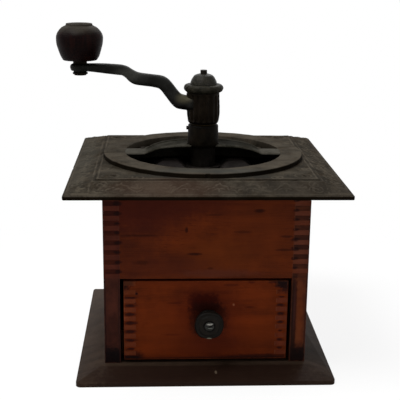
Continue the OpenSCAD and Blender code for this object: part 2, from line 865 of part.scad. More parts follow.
module drawer_front() {
    color([0.55, 0.24, 0.08])
        difference() {
            drawer_cross(drawer_front_y, drawer_front_t);
            translate([pull_side, 0, pull_z])
                rotate([90, 0, 0]) cylinder(r = pull_screw_r, h = box_w);
        }
}

module drawer_left() {
    color([0.45, 0.2, 0.08]) mirror([1, 0, 0]) drawer_side();
}

module drawer_right() {
    color([0.45, 0.2, 0.08]) drawer_side();
}

module drawer_back() {
    color([0.42, 0.2, 0.1])
        drawer_cross(drawer_front_y + drawer_len - drawer_side_t, drawer_side_t);
}

module drawer_floor() {
    color([0.5, 0.3, 0.16]) floor_groove();
}

// Children are drawn about +Z and end up about the pull's axis, pointing out of the drawer
module on_pull_axis() {
    translate([pull_side, drawer_front_y, pull_z]) rotate([90, 0, 0]) children();
}

module drawer_pull() {
    r = pull_d / 2;
    color([0.12, 0.11, 0.1])
        on_pull_axis()
            difference() {
                rotate_extrude()
                    polygon([
                        [pull_screw_r, 0], [0.74 * r, 0], [0.72 * r, 1.4], [pull_neck_r + 0.6, 2.6],
                        [pull_neck_r, pull_reach - 7.5], [0.7 * r, pull_reach - 5.6],
                        [0.94 * r, pull_reach - 4.6],
                        [r, pull_reach - 3.2], [0.96 * r, pull_reach - 1.8], [0.82 * r, pull_reach - 0.6],
                        [0.6 * r, pull_reach], [pull_screw_r, pull_reach]
                    ]);
                translate([0, 0, pull_reach - 0.9]) cylinder(r = pull_head_r + 0.02, h = 2);
            }
}

module pull_screw() {
    color([0.5, 0.5, 0.48])
        on_pull_axis()
            difference() {
                union() {
                    translate([0, 0, -drawer_front_t - nut_h - 0.8])
                        cylinder(r = pull_screw_r, h = drawer_front_t + nut_h + pull_reach);
                    translate([0, 0, pull_reach - 0.9]) cylinder(r = pull_head_r, h = 0.8);
                    translate([0, 0, pull_reach - 0.1])
                        cylinder(r1 = pull_head_r, r2 = pull_head_r - 1, h = 0.7);
                }
                rotate([0, 0, 25]) translate([-5, -0.45, pull_reach - 0.3]) cube([10, 0.9, 2]);
            }
}

module pull_nut() {
    color([0.4, 0.38, 0.35])
        on_pull_axis()
            difference() {
                translate([0, 0, -drawer_front_t - nut_h]) cylinder(r = 4.4, h = nut_h, $fn = 6);
                translate([0, 0, -drawer_front_t - nut_h - past])
                    cylinder(r = pull_screw_r, h = nut_h + 2 * past);
            }
}

base_board();
left_side();
right_side();
front_panel();
back_panel();
left_runner();
right_runner();
top_plate();
plate_screws();
base_screws();
hopper_bowl();
bowl_screws();
rear_cover();
cover_screws();
bearing_bridge();
bridge_screws();
outer_burr();
burr_screws();
bottom_bearing();
bearing_screws();
thrust_washer();
adjusting_collar();
collar_pin();
crank_arm();
crank_shaft();
inner_burr();
burr_pin();
cap_ring();
dome_nut();
knob_pin();
knob_washer();
knob_ferrule();
crank_knob();
drawer_front();
drawer_left();
drawer_right();
drawer_back();
drawer_floor();
drawer_pull();
pull_screw();
pull_nut();
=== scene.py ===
"""Looks of the manual coffee grinder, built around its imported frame.

Sizes in the classes are millimetres in the frame's own axes: X right, Y away from the drawer
pull, Z up. Meshes are written in metres.
"""

import logging
import math
from dataclasses import dataclass, field
from enum import Enum
from typing import Callable, Optional, Sequence, Union

import bmesh
import bpy
import numpy as np
from mathutils import Matrix, Vector


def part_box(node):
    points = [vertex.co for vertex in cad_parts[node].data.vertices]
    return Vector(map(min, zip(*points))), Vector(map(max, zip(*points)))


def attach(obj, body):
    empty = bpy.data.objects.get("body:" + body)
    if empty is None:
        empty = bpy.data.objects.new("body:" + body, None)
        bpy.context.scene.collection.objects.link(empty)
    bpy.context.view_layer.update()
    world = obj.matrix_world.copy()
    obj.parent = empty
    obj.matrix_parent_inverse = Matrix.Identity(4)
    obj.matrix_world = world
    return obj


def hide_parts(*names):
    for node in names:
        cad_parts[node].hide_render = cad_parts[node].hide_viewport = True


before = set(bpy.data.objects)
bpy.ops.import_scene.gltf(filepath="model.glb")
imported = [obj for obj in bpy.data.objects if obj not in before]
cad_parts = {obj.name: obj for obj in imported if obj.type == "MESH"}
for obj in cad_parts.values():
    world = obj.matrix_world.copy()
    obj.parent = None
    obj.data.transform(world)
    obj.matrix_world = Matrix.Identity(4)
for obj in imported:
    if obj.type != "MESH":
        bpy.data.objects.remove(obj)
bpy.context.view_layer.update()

LOG = logging.getLogger("grinder")
MM = 0.001
PLATE_Z = 133.2
FLAT_Z = 142.2
RING_Z = 145.5
FRONT_Y = -70.0
SMOOTH_BELOW = 38.0
BEVEL_ABOVE = 32.0

Colour = tuple[float, float, float]
Number = Union[float, "Signal"]
Lengths = Union[float, np.ndarray]
Paint = Union[Colour, bpy.types.NodeSocket]


class Body(Enum):
    """Bodies of the frame that pieces ride on."""

    CASE = "case"
    COLLAR = "collar"
    CRANK = "crank"
    KNOB = "knob"
    DRAWER = "drawer"


class Grain(Enum):
    """Direction of a board's fibres."""

    ALONG_X = (1.0, 0.0, 0.0)
    ALONG_Y = (0.0, 1.0, 0.0)


def screen(red: float, green: float, blue: float) -> Colour:
    """Linear colour of a screen colour.

    Args:
        red: Screen value from 0 to 255.
        green: Screen value from 0 to 255.
        blue: Screen value from 0 to 255.

    Returns:
        The three linear values.
    """
    share = np.array([red, green, blue]) / 255
    linear = np.where(share <= 0.04045, share / 12.92, ((share + 0.055) / 1.055) ** 2.4)
    return tuple(float(c) for c in linear)


# Surfaces worked out with numpy


@dataclass
class Shell:
    """Points (n, 3) in millimetres and faces (m, 4) of one surface, with values per point."""

    points: np.ndarray
    faces: np.ndarray
    marks: dict[str, np.ndarray] = field(default_factory=dict)


def smooth_step(low: float, high: float, value: np.ndarray) -> np.ndarray:
    """Rises from 0 at low to 1 at high as 3t^2 - 2t^3; falls where high is below low.

    Args:
        low: Where the step starts.
        high: Where the step ends.
        value: Values to step.

    Returns:
        The steps, between 0 and 1.
    """
    t = np.clip((value - low) / (high - low), 0, 1)
    return t * t * (3 - 2 * t)


def ridge(distance: np.ndarray, half_width: float) -> np.ndarray:
    """A flat-backed ridge: exp of minus the fourth power of distance over half width."""
    return np.exp(-((distance / half_width) ** 4))


def ripple(x: np.ndarray, y: np.ndarray, size: float, seed: int, waves: int = 9) -> np.ndarray:
    """Smooth irregular field between about -1 and 1.

    It is the mean of plane waves of about the given length with seeded directions and phases.

    Args:
        x: First coordinate.
        y: Second coordinate.
        size: Typical wave length.
        seed: Seed of the directions.
        waves: Number of waves.

    Returns:
        The field, shaped like x and y.
    """
    dice = np.random.default_rng(seed)
    angle, phase = dice.uniform(0, 2 * math.pi, (2, waves))
    rate = 2 * math.pi / size * dice.uniform(0.6, 1.5, waves)
    turn = (
        np.multiply.outer(x, np.cos(angle) * rate) + np.multiply.outer(y, np.sin(angle) * rate) + phase
    )
    return np.sin(turn).sum(-1) / math.sqrt(waves)


def curve_through(points: Sequence[Sequence[float]], steps: int) -> np.ndarray:
    """Smooth curve through all points.

    Between b and c it is 0.5 (2b + (c - a) t + (2a - 5b + 4c - d) t^2 + (3b - a - 3c + d) t^3).

    Args:
        points: Points of any dimension.
        steps: Pieces between each two.

    Returns:
        The points of the curve, the last one included.
    """
    p = np.asarray(points, float)
    a, b, c = np.vstack([p[:1], p[:-2]]), p[:-1], p[1:]
    d = np.vstack([p[2:], p[-1:]])
    t = (np.arange(steps) / steps)[None, :, None]
    a, b, c, d = (q[:, None, :] for q in (a, b, c, d))
    span = 0.5 * (
        2 * b + (c - a) * t + (2 * a - 5 * b + 4 * c - d) * t**2 + (3 * b - a - 3 * c + d) * t**3
    )
    return np.vstack([span.reshape(-1, p.shape[1]), p[-1:]])


def lengths(vectors: np.ndarray) -> np.ndarray:
    """Lengths of the rows, as a column."""
    return np.linalg.norm(vectors, axis=1, keepdims=True)


def eased(points: Sequence[Sequence[float]], radius: float, steps: int = 4) -> np.ndarray:
    """Closed outline whose corners are rounded.

    Each corner p becomes the curve (1 - t)^2 a + 2t (1 - t) p + t^2 b, where a and b lie on its
    two sides at the radius, or halfway along a shorter side.

    Args:
        points: Corners of a closed outline, in order.
        radius: Distance from the corner at which the rounding starts.
        steps: Pieces of each rounding.

    Returns:
        Points of the rounded outline.
    """
    p = np.asarray(points, float)
    before, after = np.roll(p, 1, 0) - p, np.roll(p, -1, 0) - p
    near = [side * np.minimum(0.5, radius / np.maximum(lengths(side), 1e-9)) for side in (before, after)]
    a, b = p + near[0], p + near[1]
    t = np.linspace(0, 1, steps + 1)[None, :, None]
    curve = (1 - t) ** 2 * a[:, None] + 2 * t * (1 - t) * p[:, None] + t**2 * b[:, None]
    return curve.reshape(-1, p.shape[1])


def grid_faces(rows: int, columns: int, wrap_rows: bool, wrap_columns: bool) -> np.ndarray:
    """Quads between neighbours of a grid of rows by columns points.

    Args:
        rows: Number of rows.
        columns: Number of columns.
        wrap_rows: Whether the last row meets the first.
        wrap_columns: Whether the last column meets the first.

    Returns:
        Point numbers of the quads, shaped (m, 4).
    """
    r, c = np.meshgrid(
        np.arange(rows if wrap_rows else rows - 1),
        np.arange(columns if wrap_columns else columns - 1),
        indexing="ij",
    )
    down, right = (r + 1) % rows, (c + 1) % columns
    corners = [r * columns + c, r * columns + right, down * columns + right, down * columns + c]
    return np.stack(corners, -1).reshape(-1, 4)


def turned(
    outline: np.ndarray,
    turns: int = 96,
    middle: tuple[float, float] = (0.0, 0.0),
    shape: Optional[Callable[[np.ndarray, np.ndarray, np.ndarray], np.ndarray]] = None,
) -> Shell:
    """Ring turned about an upright axis from a closed outline.

    A point of the outline at radius r and height z goes to (r cos a, r sin a, z) for each angle
    a, after shape(a, r, z) has given a new radius.

    Args:
        outline: Closed outline of (radius, height).
        turns: Number of angles.
        middle: X and Y of the axis.
        shape: Changes the radius with the angle.

    Returns:
        The closed surface.
    """
    a = np.linspace(0, 2 * math.pi, turns, endpoint=False)[None, :]
    r, z = outline[:, :1] + 0 * a, outline[:, 1:] + 0 * a
    if shape:
        r = shape(a + 0 * r, r, z)
    points = np.stack([middle[0] + r * np.cos(a), middle[1] + r * np.sin(a), z], -1)
    return Shell(points.reshape(-1, 3), grid_faces(len(outline), turns, True, True))


def slab(upper: np.ndarray, lower: np.ndarray, keep: np.ndarray, mark: dict[str, np.ndarray]) -> Shell:
    """Plate between two grids of the same shape, without the dropped quads.

    Every kept quad gives one face above and one below. An edge that only one kept quad has gets
    a wall between both grids, and points without a face are left out.

    Args:
        upper: Points of the upper grid, shaped (rows, columns, 3).
        lower: Points of the lower grid.
        keep: Whether each quad stays, in the order of grid_faces.
        mark: Values per point of the upper grid.

    Returns:
        The closed surface.
    """
    rows, columns, _ = upper.shape
    total = rows * columns
    top = grid_faces(rows, columns, False, False)[keep]
    edges = np.concatenate([np.stack([top[:, k], top[:, (k + 1) % 4]], -1) for k in range(4)])
    _, first, count = np.unique(np.sort(edges, 1), axis=0, return_index=True, return_counts=True)
    a, b = edges[first[count == 1]].T
    walls = np.stack([b, a, a + total, b + total], -1)
    faces = np.concatenate([top, top[:, ::-1] + total, walls])
    used, faces = np.unique(faces, return_inverse=True)
    points = np.concatenate([upper.reshape(-1, 3), lower.reshape(-1, 3)])[used]
    values = {name: np.tile(value.reshape(-1), 2)[used] for name, value in mark.items()}
    return Shell(points, faces.reshape(-1, 4), values)


def make_piece(
    name: str,
    shells: Sequence[Shell],
    material: bpy.types.Material,
    body: Body,
    stands_for: str,
) -> None:
    """Writes shells into one mesh object that rides on a body.

    Args:
        name: Name of the piece.
        shells: Closed surfaces in millimetres.
        material: Its finish.
        body: Body of the frame that it moves with.
        stands_for: Node of the frame that it replaces.
    """
    starts = np.cumsum([0] + [len(s.points) for s in shells[:-1]])
    points = np.vstack([s.points for s in shells]) * MM
    faces = np.vstack([s.faces + start for s, start in zip(shells, starts)])
    mesh = bpy.data.meshes.new(name)
    mesh.from_pydata(points.tolist(), [], faces.tolist())
    for mark in sorted({m for s in shells for m in s.marks}):
        values = [s.marks.get(mark, np.zeros(len(s.points))) for s in shells]
        layer = mesh.attributes.new(mark, "FLOAT", "POINT")
        layer.data.foreach_set("value", np.concatenate(values).astype(np.float32))
    tidy = bmesh.new()
    tidy.from_mesh(mesh)
    bmesh.ops.remove_doubles(tidy, verts=tidy.verts, dist=2e-6)
    bmesh.ops.recalc_face_normals(tidy, faces=tidy.faces)
    tidy.to_mesh(mesh)
    tidy.free()
    placed(name, mesh, material, body, stands_for, SMOOTH_BELOW)


def placed(
    name: str,
    mesh: bpy.types.Mesh,
    material: bpy.types.Material,
    body: Body,
    stands_for: str,
    crease: float,
) -> bpy.types.Object:
    """Makes an object of a mesh, shades it and ties it to the frame.

    Args:
        name: Name of the piece.
        mesh: Its mesh, in metres.
        material: Its finish.
        body: Body of the frame that it moves with.
        stands_for: Node of the frame that it replaces.
        crease: Angle in degrees above which an edge stays sharp.

    Returns:
        The new object.
    """
    mesh.polygons.foreach_set("use_smooth", np.ones(len(mesh.polygons), bool))
    mesh.set_sharp_from_angle(angle=math.radians(crease))
    mesh.materials.append(material)
    piece = bpy.data.objects.new(name, mesh)
    bpy.context.scene.collection.objects.link(piece)
    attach(piece, body.value)
    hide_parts(stands_for)
    LOG.info("%s: %d faces, rides on %s", name, len(mesh.polygons), body.value)
    return piece


def eased_copy(
    node: str,
    name: str,
    width: float,
    material: bpy.types.Material,
    body: Body,
) -> None:
    """Makes a copy of a frame node whose edges are worn round by a bevel.

    The node's loose triangles are merged by equal places, flat areas become single faces, and a
    bevel of the given width rounds every sharp edge. The copy stands for the node.

    Args:
        node: Node of the frame.
        name: Name of the new piece.
        width: Width of the bevel in millimetres.
        material: Its finish.
        body: Body of the frame that it moves with.
    """
    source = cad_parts[node].data
    points = np.empty(len(source.vertices) * 3, np.float32)
    source.vertices.foreach_get("co", points)
    source.calc_loop_triangles()
    faces = np.empty(len(source.loop_triangles) * 3, np.int32)
    source.loop_triangles.foreach_get("vertices", faces)
    _, first, number = np.unique(
        np.round(points.reshape(-1, 3) * 1e6), axis=0, return_index=True, return_inverse=True
    )
    faces = number.reshape(-1)[faces].reshape(-1, 3)
    mesh = bpy.data.meshes.new(name)
    mesh.from_pydata(points.reshape(-1, 3)[first].tolist(), [], faces.tolist())
    tidy = bmesh.new()
    tidy.from_mesh(mesh)
    flat = {"verts": tidy.verts, "edges": tidy.edges, "use_dissolve_boundaries": False}
    bmesh.ops.dissolve_limit(tidy, angle_limit=math.radians(0.6), **flat)
    tidy.to_mesh(mesh)
    tidy.free()
    piece = placed(name, mesh, material, body, node, BEVEL_ABOVE)
    bevel = piece.modifiers.new("worn edges", "BEVEL")
    bevel.width = width * MM
    bevel.segments = 2
    bevel.limit_method = "ANGLE"
    bevel.angle_limit = math.radians(BEVEL_ABOVE)
    bevel.harden_normals = True
    bevel.use_clamp_overlap = True


def dress(node: str, material: bpy.types.Material) -> None:
    """Gives a frame node, kept as it is, its finish.

    Args:
        node: Node of the frame.
        material: The finish.
    """
    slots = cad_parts[node].data.materials
    slots.clear()
    slots.append(material)
    LOG.info("%s: frame node dressed with %s", node, material.name)


# Shader arithmetic


class Signal:
    """A number socket that takes part in arithmetic."""

    def __init__(self, shop: "Shop", socket: bpy.types.NodeSocket) -> None:
        """Keeps the tree and the socket."""
        self.shop = shop
        self.socket = socket

    def _with(self, operation: str, other: Number) -> "Signal":
        """This signal and another through one Math node."""
        return self.shop.math(operation, self, other)

    def __add__(self, other: Number) -> "Signal":
        """Sum."""
        return self._with("ADD", other)

    __radd__ = __add__

    def __mul__(self, other: Number) -> "Signal":
        """Product."""
        return self._with("MULTIPLY", other)

    __rmul__ = __mul__

    def __sub__(self, other: Number) -> "Signal":
        """Difference."""
        return self._with("SUBTRACT", other)

    def __rsub__(self, other: Number) -> "Signal":
        """Difference from a number."""
        return self.shop.math("SUBTRACT", other, self)

    def __truediv__(self, other: Number) -> "Signal":
        """Quotient."""
        return self._with("DIVIDE", other)

    def __pow__(self, other: Number) -> "Signal":
        """Power."""
        return self._with("POWER", other)

    def __abs__(self) -> "Signal":
        """Size without sign."""
        return self._with("ABSOLUTE", 0.0)

    def least(self, other: Number) -> "Signal":
        """The smaller of two."""
        return self._with("MINIMUM", other)

    def most(self, other: Number) -> "Signal":
        """The larger of two."""
        return self._with("MAXIMUM", other)

    def folded(self, pitch: float) -> "Signal":
        """Distance to the nearest whole multiple of pitch."""
        return self._with("PINGPONG", pitch / 2)

    def step(self, low: float, high: float) -> "Signal":
        """Rises smoothly from 0 at low to 1 at high; falls where high is below low.

        Args:
            low: Where the step starts.
            high: Where it ends.

        Returns:
            The step, between 0 and 1.
        """
        settings = {"interpolation_type": "SMOOTHSTEP"}
        if low < high:
            sockets = {0: self, 1: low, 2: high, 3: 0.0, 4: 1.0}
        else:
            sockets = {0: self, 1: high, 2: low, 3: 1.0, 4: 0.0}
        return Signal(self.shop, self.shop.add("ShaderNodeMapRange", settings, sockets).outputs[0])


class Shop:
    """Node tree of one material, with the few nodes that the finishes use."""

    def __init__(self, name: str) -> None:
        """Starts a material whose tree has only its output and a principled shader.

        Args:
            name: Name of the material.
        """
        self.material = bpy.data.materials.new(name)
        self.material.use_nodes = True
        self.tree = self.material.node_tree
        self.tree.nodes.clear()
        self.out = self.tree.nodes.new("ShaderNodeOutputMaterial")
        self._place: Optional[bpy.types.NodeSocket] = None

    def add(
        self, kind: str, settings: dict[str, object], sockets: dict[Union[int, str], object]
    ) -> bpy.types.Node:
        """Adds one node.

        Args:
            kind: Type of the node.
            settings: Its settings, set before its sockets.
            sockets: Values, signals or sockets by input.

        Returns:
            The node.
        """
        node = self.tree.nodes.new(kind)
        for key, value in settings.items():
            setattr(node, key, value)
        for key, value in sockets.items():
            value = value.socket if isinstance(value, Signal) else value
            if isinstance(value, bpy.types.NodeSocket):
                self.tree.links.new(value, node.inputs[key])
            elif isinstance(value, tuple) and node.inputs[key].type == "RGBA":
                node.inputs[key].default_value = (*value, 1.0)
            else:
                node.inputs[key].default_value = value
        return node

    def math(self, operation: str, first: Number, second: Number) -> Signal:
        """Two numbers through a Math node."""
        node = self.add("ShaderNodeMath", {"operation": operation}, {0: first, 1: second})
        return Signal(self, node.outputs[0])

    def place(self) -> bpy.types.NodeSocket:
        """Place on the object in millimetres.

        Returns:
            The place as a vector.
        """
        if self._place is None:
            spot = self.add("ShaderNodeTexCoord", {}, {}).outputs["Object"]
            self._place = self.vector("SCALE", spot, scale=1 / MM)
        return self._place

    def vector(
        self,
        operation: str,
        first: bpy.types.NodeSocket,
        second: Union[Colour, bpy.types.NodeSocket, None] = None,
        scale: Optional[float] = None,
    ) -> bpy.types.NodeSocket:
        """Vectors through a Vector Math node.

        Args:
            operation: Operation of the node.
            first: First vector.
            second: Second vector, where the operation has one.
            scale: Factor of the SCALE operation.

        Returns:
            The vector that comes out.
        """
        sockets: dict[Union[int, str], object] = {0: first}
        if second is not None:
            sockets[1] = second
        if scale is not None:
            sockets["Scale"] = scale
        return self.add("ShaderNodeVectorMath", {"operation": operation}, sockets).outputs[0]

    def axes(self) -> tuple[Signal, Signal, Signal]:
        """X, Y and Z of the place on the object, in millimetres."""
        parts = self.add("ShaderNodeSeparateXYZ", {}, {0: self.place()}).outputs
        return Signal(self, parts[0]), Signal(self, parts[1]), Signal(self, parts[2])

    def noise(
        self,
        rate: Union[float, Colour],
        detail: float = 3,
        roughness: float = 0.55,
        shift: float = 0.0,
    ) -> Signal:
        """Cloudy noise between 0 and 1.

        Args:
            rate: Features per millimetre, along each axis if three are given.
            detail: Octaves.
            roughness: Weight of the finer octaves.
            shift: Moves the pattern, so that no two are alike.

        Returns:
            The noise.
        """
        rates = rate if isinstance(rate, tuple) else (rate, rate, rate)
        spot = self.vector("MULTIPLY", self.place(), rates)
        spot = self.vector("ADD", spot, (shift, shift * 0.7, shift * 1.3))
        sockets = {"Vector": spot, "Scale": 1.0, "Detail": detail, "Roughness": roughness}
        return Signal(self, self.add("ShaderNodeTexNoise", {}, sockets).outputs[0])

    def cells(self, rate: float, shift: float) -> Signal:
        """Distance to the nearest of scattered points, in cells.

        Args:
            rate: Cells per millimetre.
            shift: Moves the pattern.

        Returns:
            The distance.
        """
        spot = self.vector("ADD", self.vector("MULTIPLY", self.place(), (rate,) * 3), (shift,) * 3)
        node = self.add("ShaderNodeTexVoronoi", {"feature": "F1"}, {"Vector": spot, "Scale": 1.0})
        return Signal(self, node.outputs[0])

    def mark(self, name: str) -> Signal:
        """Value stored on the mesh under a name."""
        node = self.add("ShaderNodeAttribute", {"attribute_name": name}, {})
        return Signal(self, node.outputs["Fac"])

    def blend(self, share: Number, first: Paint, second: Paint) -> bpy.types.NodeSocket:
        """Mixes two colours.

        Args:
            share: Share of the second colour.
            first: Colour at share 0.
            second: Colour at share 1.

        Returns:
            The mixed colour.
        """
        sockets = {0: share, 6: first, 7: second}
        return self.add("ShaderNodeMix", {"data_type": "RGBA"}, sockets).outputs[2]

    def finish(
        self,
        colour: bpy.types.NodeSocket,
        roughness: Number,
        height: Signal,
        depth: float,
        metallic: Number = 0.0,
        gloss: float = 0.5,
    ) -> bpy.types.Material:
        """Closes the material with a principled shader and a bump.

        Args:
            colour: Base colour.
            roughness: Roughness.
            height: Height of the fine relief, in units of depth.
            depth: Depth of the fine relief in millimetres.
            metallic: Share of metal.
            gloss: Specular level.

        Returns:
            The finished material.
        """
        relief = {"Strength": 1.0, "Distance": depth * MM, "Height": height}
        bump = self.add("ShaderNodeBump", {}, relief)
        sockets = {"Base Color": colour, "Roughness": roughness, "Metallic": metallic}
        sockets |= {"Specular IOR Level": gloss, "Normal": bump.outputs[0]}
        shader = self.add("ShaderNodeBsdfPrincipled", {}, sockets)
        self.tree.links.new(shader.outputs[0], self.out.inputs[0])
        return self.material


# Finishes


@dataclass(frozen=True)
class Blot:
    """Soft-edged stain or worn spot, in millimetres, on a front or, if flat, seen from above."""

    x: float
    z: float
    wide: float
    high: float
    colour: Colour
    share: float
    edge: float = 0.5
    power: float = 2.0
    flat: bool = False

    def lay(self, shop: Shop, under: Paint, wobble: Signal, front: Number) -> Paint:
        """Lays the blot over a colour.

        Its mask is 1 where the sum of the powers of both distances over the half sizes is below
        1, and fades to 0 around it, with the wobble added to the distance.

        Args:
            shop: The material's tree.
            under: Colour below.
            wobble: Irregular edge, between 0 and 1.
            front: Mask of the face that carries the blot.

        Returns:
            The new colour.
        """
        x, y, z = shop.axes()
        up = y if self.flat else z
        across, up = abs((x - self.x) / self.wide), abs((up - self.z) / self.high)
        far = (across**self.power + up**self.power) ** (1 / self.power)
        mask = (far + (wobble - 0.5) * 0.9).step(1 + self.edge, 1 - self.edge)
        return shop.blend(mask * front * self.share, under, self.colour)


@dataclass(frozen=True)
class FingerEnds:
    """Finger joints seen from the front: tinted ends and a dark spot once in every pitch.

    The tints lie where a board is further than inner from the middle. The spots have their
    middles at spot_x, at the heights left_z and right_z and every pitch from there, and those
    on the right are narrower by the factor narrow.
    """

    inner: float
    pitch: float
    low: float
    high: float
    left: Colour
    right: Colour
    spot: Colour
    spot_x: float
    left_z: float
    right_z: float
    share: float = 0.7
    wide: float = 1.9
    tall: float = 1.3
    depth: float = 0.9
    narrow: float = 1.0

    def lay(self, shop: Shop, under: Paint, wobble: Signal, front: Number) -> Paint:
        """Tints the ends and lays the spots.

        A spot's mask falls with the distance to the nearest middle over the half sizes, which
        change from spot to spot.

        Args:
            shop: The material's tree.
            under: Colour below.
            wobble: Irregular edge, between 0 and 1.
            front: Mask of the face that carries the joints.

        Returns:
            The new colour.
        """
        x, _, z = shop.axes()
        here = z.step(self.low - 0.5, self.low) * z.step(self.high + 0.5, self.high) * front
        uneven = shop.noise((0.02, 0.02, 0.8 / self.pitch), 2, 0.5, 61.0)
        grain = shop.noise((0.15, 0.15, 2.6), 2, 0.5, 67.0)
        ends = abs(x).step(self.inner - 0.3, self.inner + 0.5) * here
        change = (uneven - 0.5) * 2.2 + (grain - 0.5) * 1.2 + 0.9
        share = ends * self.share * change.least(1).most(0)
        right = x.step(-1.0, 1.0)
        colour = shop.blend(share * (1 - right), under, self.left)
        colour = shop.blend(share * right, colour, self.right)
        size = ((uneven - 0.5) * 1.8 + 1).most(0.5)
        across = (abs(x) - self.spot_x) / self.wide * (1 + right * (self.narrow - 1))
        start = right * (self.right_z - self.left_z) + self.left_z
        up = (z - start).folded(self.pitch) / self.tall
        far = (across**2 + up**2) ** 0.5 / size + (wobble - 0.5) * 1.2
        return shop.blend(far.step(1.45, 0.5) * here * self.depth, colour, self.spot)


@dataclass(frozen=True)
class StainedWood:
    """Old stained board: bands, fibres, dark flecks, blots, grimy joints and rubbed edges."""

    name: str
    light: Colour
    dark: Colour
    fleck: Colour
    rubbed: Colour
    grain: Grain
    node: str
    blots: tuple[Blot, ...] = ()
    fingers: Optional[FingerEnds] = None
    seed: float = 0.0
    fleck_share: float = 0.45
    rub: float = 0.3
    front_y: float = FRONT_Y

    def rates(self, along: float, across: float) -> Colour:
        """Noise rates along and across the fibres."""
        return tuple(along if g else across for g in self.grain.value)

    def edges(self, shop: Shop) -> Signal:
        """Distance to the board's nearest edge, in millimetres.

        It is the middle one of the three distances to the sides of the board's box.

        Args:
            shop: The material's tree.

        Returns:
            The distance.
        """
        low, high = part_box(self.node)
        near = []
        for part, a, b in zip(shop.axes(), low, high):
            near.append((b - a) / 2 / MM - abs(part - (a + b) / 2 / MM))
        x, y, z = near
        return x.least(y).most(x.most(y).least(z))

    def make(self) -> bpy.types.Material:
        """Builds the material.

        Returns:
            The finished material.
        """
        shop = Shop(self.name)
        warp = shop.noise(0.03, 2, shift=self.seed)
        bands = shop.noise(self.rates(0.01, 0.16), 3, 0.55, self.seed + 3)
        strands = shop.noise(self.rates(0.09, 3.2), 3, 0.6, self.seed + 7)
        dashes = shop.noise(self.rates(0.16, 1.9), 2, 0.5, self.seed + 11)
        cloud = shop.noise(0.05, 4, 0.6, self.seed + 17)
        wobble = shop.noise(0.35, 3, 0.6, self.seed + 23)
        drift = (bands - 0.5) * 1.1 + (cloud - 0.5) * 1.4 + (warp - 0.5) * 0.9
        tone = 0.5 + (drift + (strands - 0.5) * 0.8)
        colour = shop.blend(tone.step(0.0, 1.0), self.dark, self.light)
        flecks = dashes.step(0.6, 0.74) * (0.3 + 0.7 * cloud.step(0.4, 0.6))
        colour = shop.blend(flecks * self.fleck_share, colour, self.fleck)
        _, y, _ = shop.axes()
        front = y.step(self.front_y + 2.5, self.front_y + 0.8)
        for blot in self.blots:
            colour = blot.lay(shop, colour, wobble, front)
        if self.fingers:
            colour = self.fingers.lay(shop, colour, wobble, front)
        gap = self.edges(shop)
        worn = (gap + (wobble - 0.5) * 2.2).step(0.9, 0.1)
        colour = shop.blend(worn * self.rub, colour, self.rubbed)
        grime = (gap - 2.5 + (cloud - 0.5) * 6).step(2.5, -2.0) * cloud.step(0.42, 0.62)
        colour = shop.blend(grime * 0.35, colour, self.fleck)
        height = 0.6 * strands + 0.4 * bands - 0.5 * flecks
        rough = 0.5 + (strands - 0.5) * 0.2 - worn * 0.08 + flecks * 0.1
        return shop.finish(colour, rough, height, 0.14, gloss=0.03)


@dataclass(frozen=True)
class OldIron:
    """Blackened iron: cloudy tone, rubbed high places, rust in low ones, pits and scratches.

    A marked piece is lighter where its mesh says "relief", for rubbed high places and painted light, and
    near black where it says "grime", for soiling, dark seams and painted shade.
    """

    name: str
    low: Colour
    high: Colour
    rust: Colour
    rust_share: float = 0.25
    metal: float = 0.08
    gloss: float = 0.04
    roughness: float = 0.5
    depth: float = 0.12
    seed: float = 0.0
    cloud_rate: float = 0.07
    marked: bool = False
    shade: float = 0.08
    blots: tuple[Blot, ...] = ()
    black: Colour = (0.0037, 0.0024, 0.0011)

    def make(self) -> bpy.types.Material:
        """Builds the material.

        Returns:
            The finished material.
        """
        shop = Shop(self.name)
        cloud = shop.noise(self.cloud_rate, 4, 0.62, self.seed)
        fine = shop.noise(0.9, 3, 0.6, self.seed + 5)
        grit = shop.noise(3.2, 2, 0.5, self.seed + 9)
        hole = shop.cells(0.55, self.seed + 2).step(0.22, 0.05) * fine.step(0.5, 0.62)
        tone = 0.5 + (cloud - 0.5) * 1.4 + (fine - 0.5) * 0.8 + (grit - 0.5) * 0.5
        rusty = (shop.noise(0.11, 5, 0.68, self.seed + 31) + (fine - 0.5) * 0.25).step(0.48, 0.7)
        if self.marked:
            # The relief mark lightens rubbed high places and carries painted light.
            raised = shop.mark("relief")
            tone = tone + raised * 0.6 - self.shade
            rusty = rusty * (1 - raised.step(0.1, 0.6) * 0.6)
        colour = shop.blend(tone.step(0.05, 0.95), self.low, self.high)
        colour = shop.blend(rusty * self.rust_share, colour, self.rust)
        colour = shop.blend(hole * 0.5, colour, self.low)
        for blot in self.blots:
            colour = blot.lay(shop, colour, cloud, 1.0)
        if self.marked:
            # The darkening mark blackens soiling, dark seams and painted shade.
            dirt_and_shade = shop.mark("grime") * (0.84 + fine * 0.16)
            colour = shop.blend(dirt_and_shade, colour, self.black)
        height = 0.5 * fine + 0.35 * grit - hole * 0.5
        rough = self.roughness + (fine - 0.5) * 0.22 + rusty * 0.15 - tone.step(0.5, 1.0) * 0.06
        metal = self.metal * (1 - rusty * 0.6)
        return shop.finish(colour, rough, height, self.depth, metal, self.gloss)


@dataclass(frozen=True)
class BrightMetal:
    """Worked steel or brass with fine turning lines and dull spots."""

    name: str
    bright: Colour
    dull: Colour
    roughness: float = 0.4
    metal: float = 0.6
    seed: float = 0.0

    def make(self) -> bpy.types.Material:
        """Builds the material.

        Returns:
            The finished material.
        """
        shop = Shop(self.name)
        line = shop.noise((0.3, 0.3, 6.0), 2, 0.5, self.seed)
        spot = shop.noise(0.5, 4, 0.65, self.seed + 4)
        colour = shop.blend((spot + (line - 0.5) * 0.5).step(0.35, 0.7), self.bright, self.dull)
        rough = self.roughness + (line - 0.5) * 0.15 + spot.step(0.45, 0.7) * 0.2
        return shop.finish(colour, rough, line + 0.4 * spot, 0.04, self.metal, 0.2)


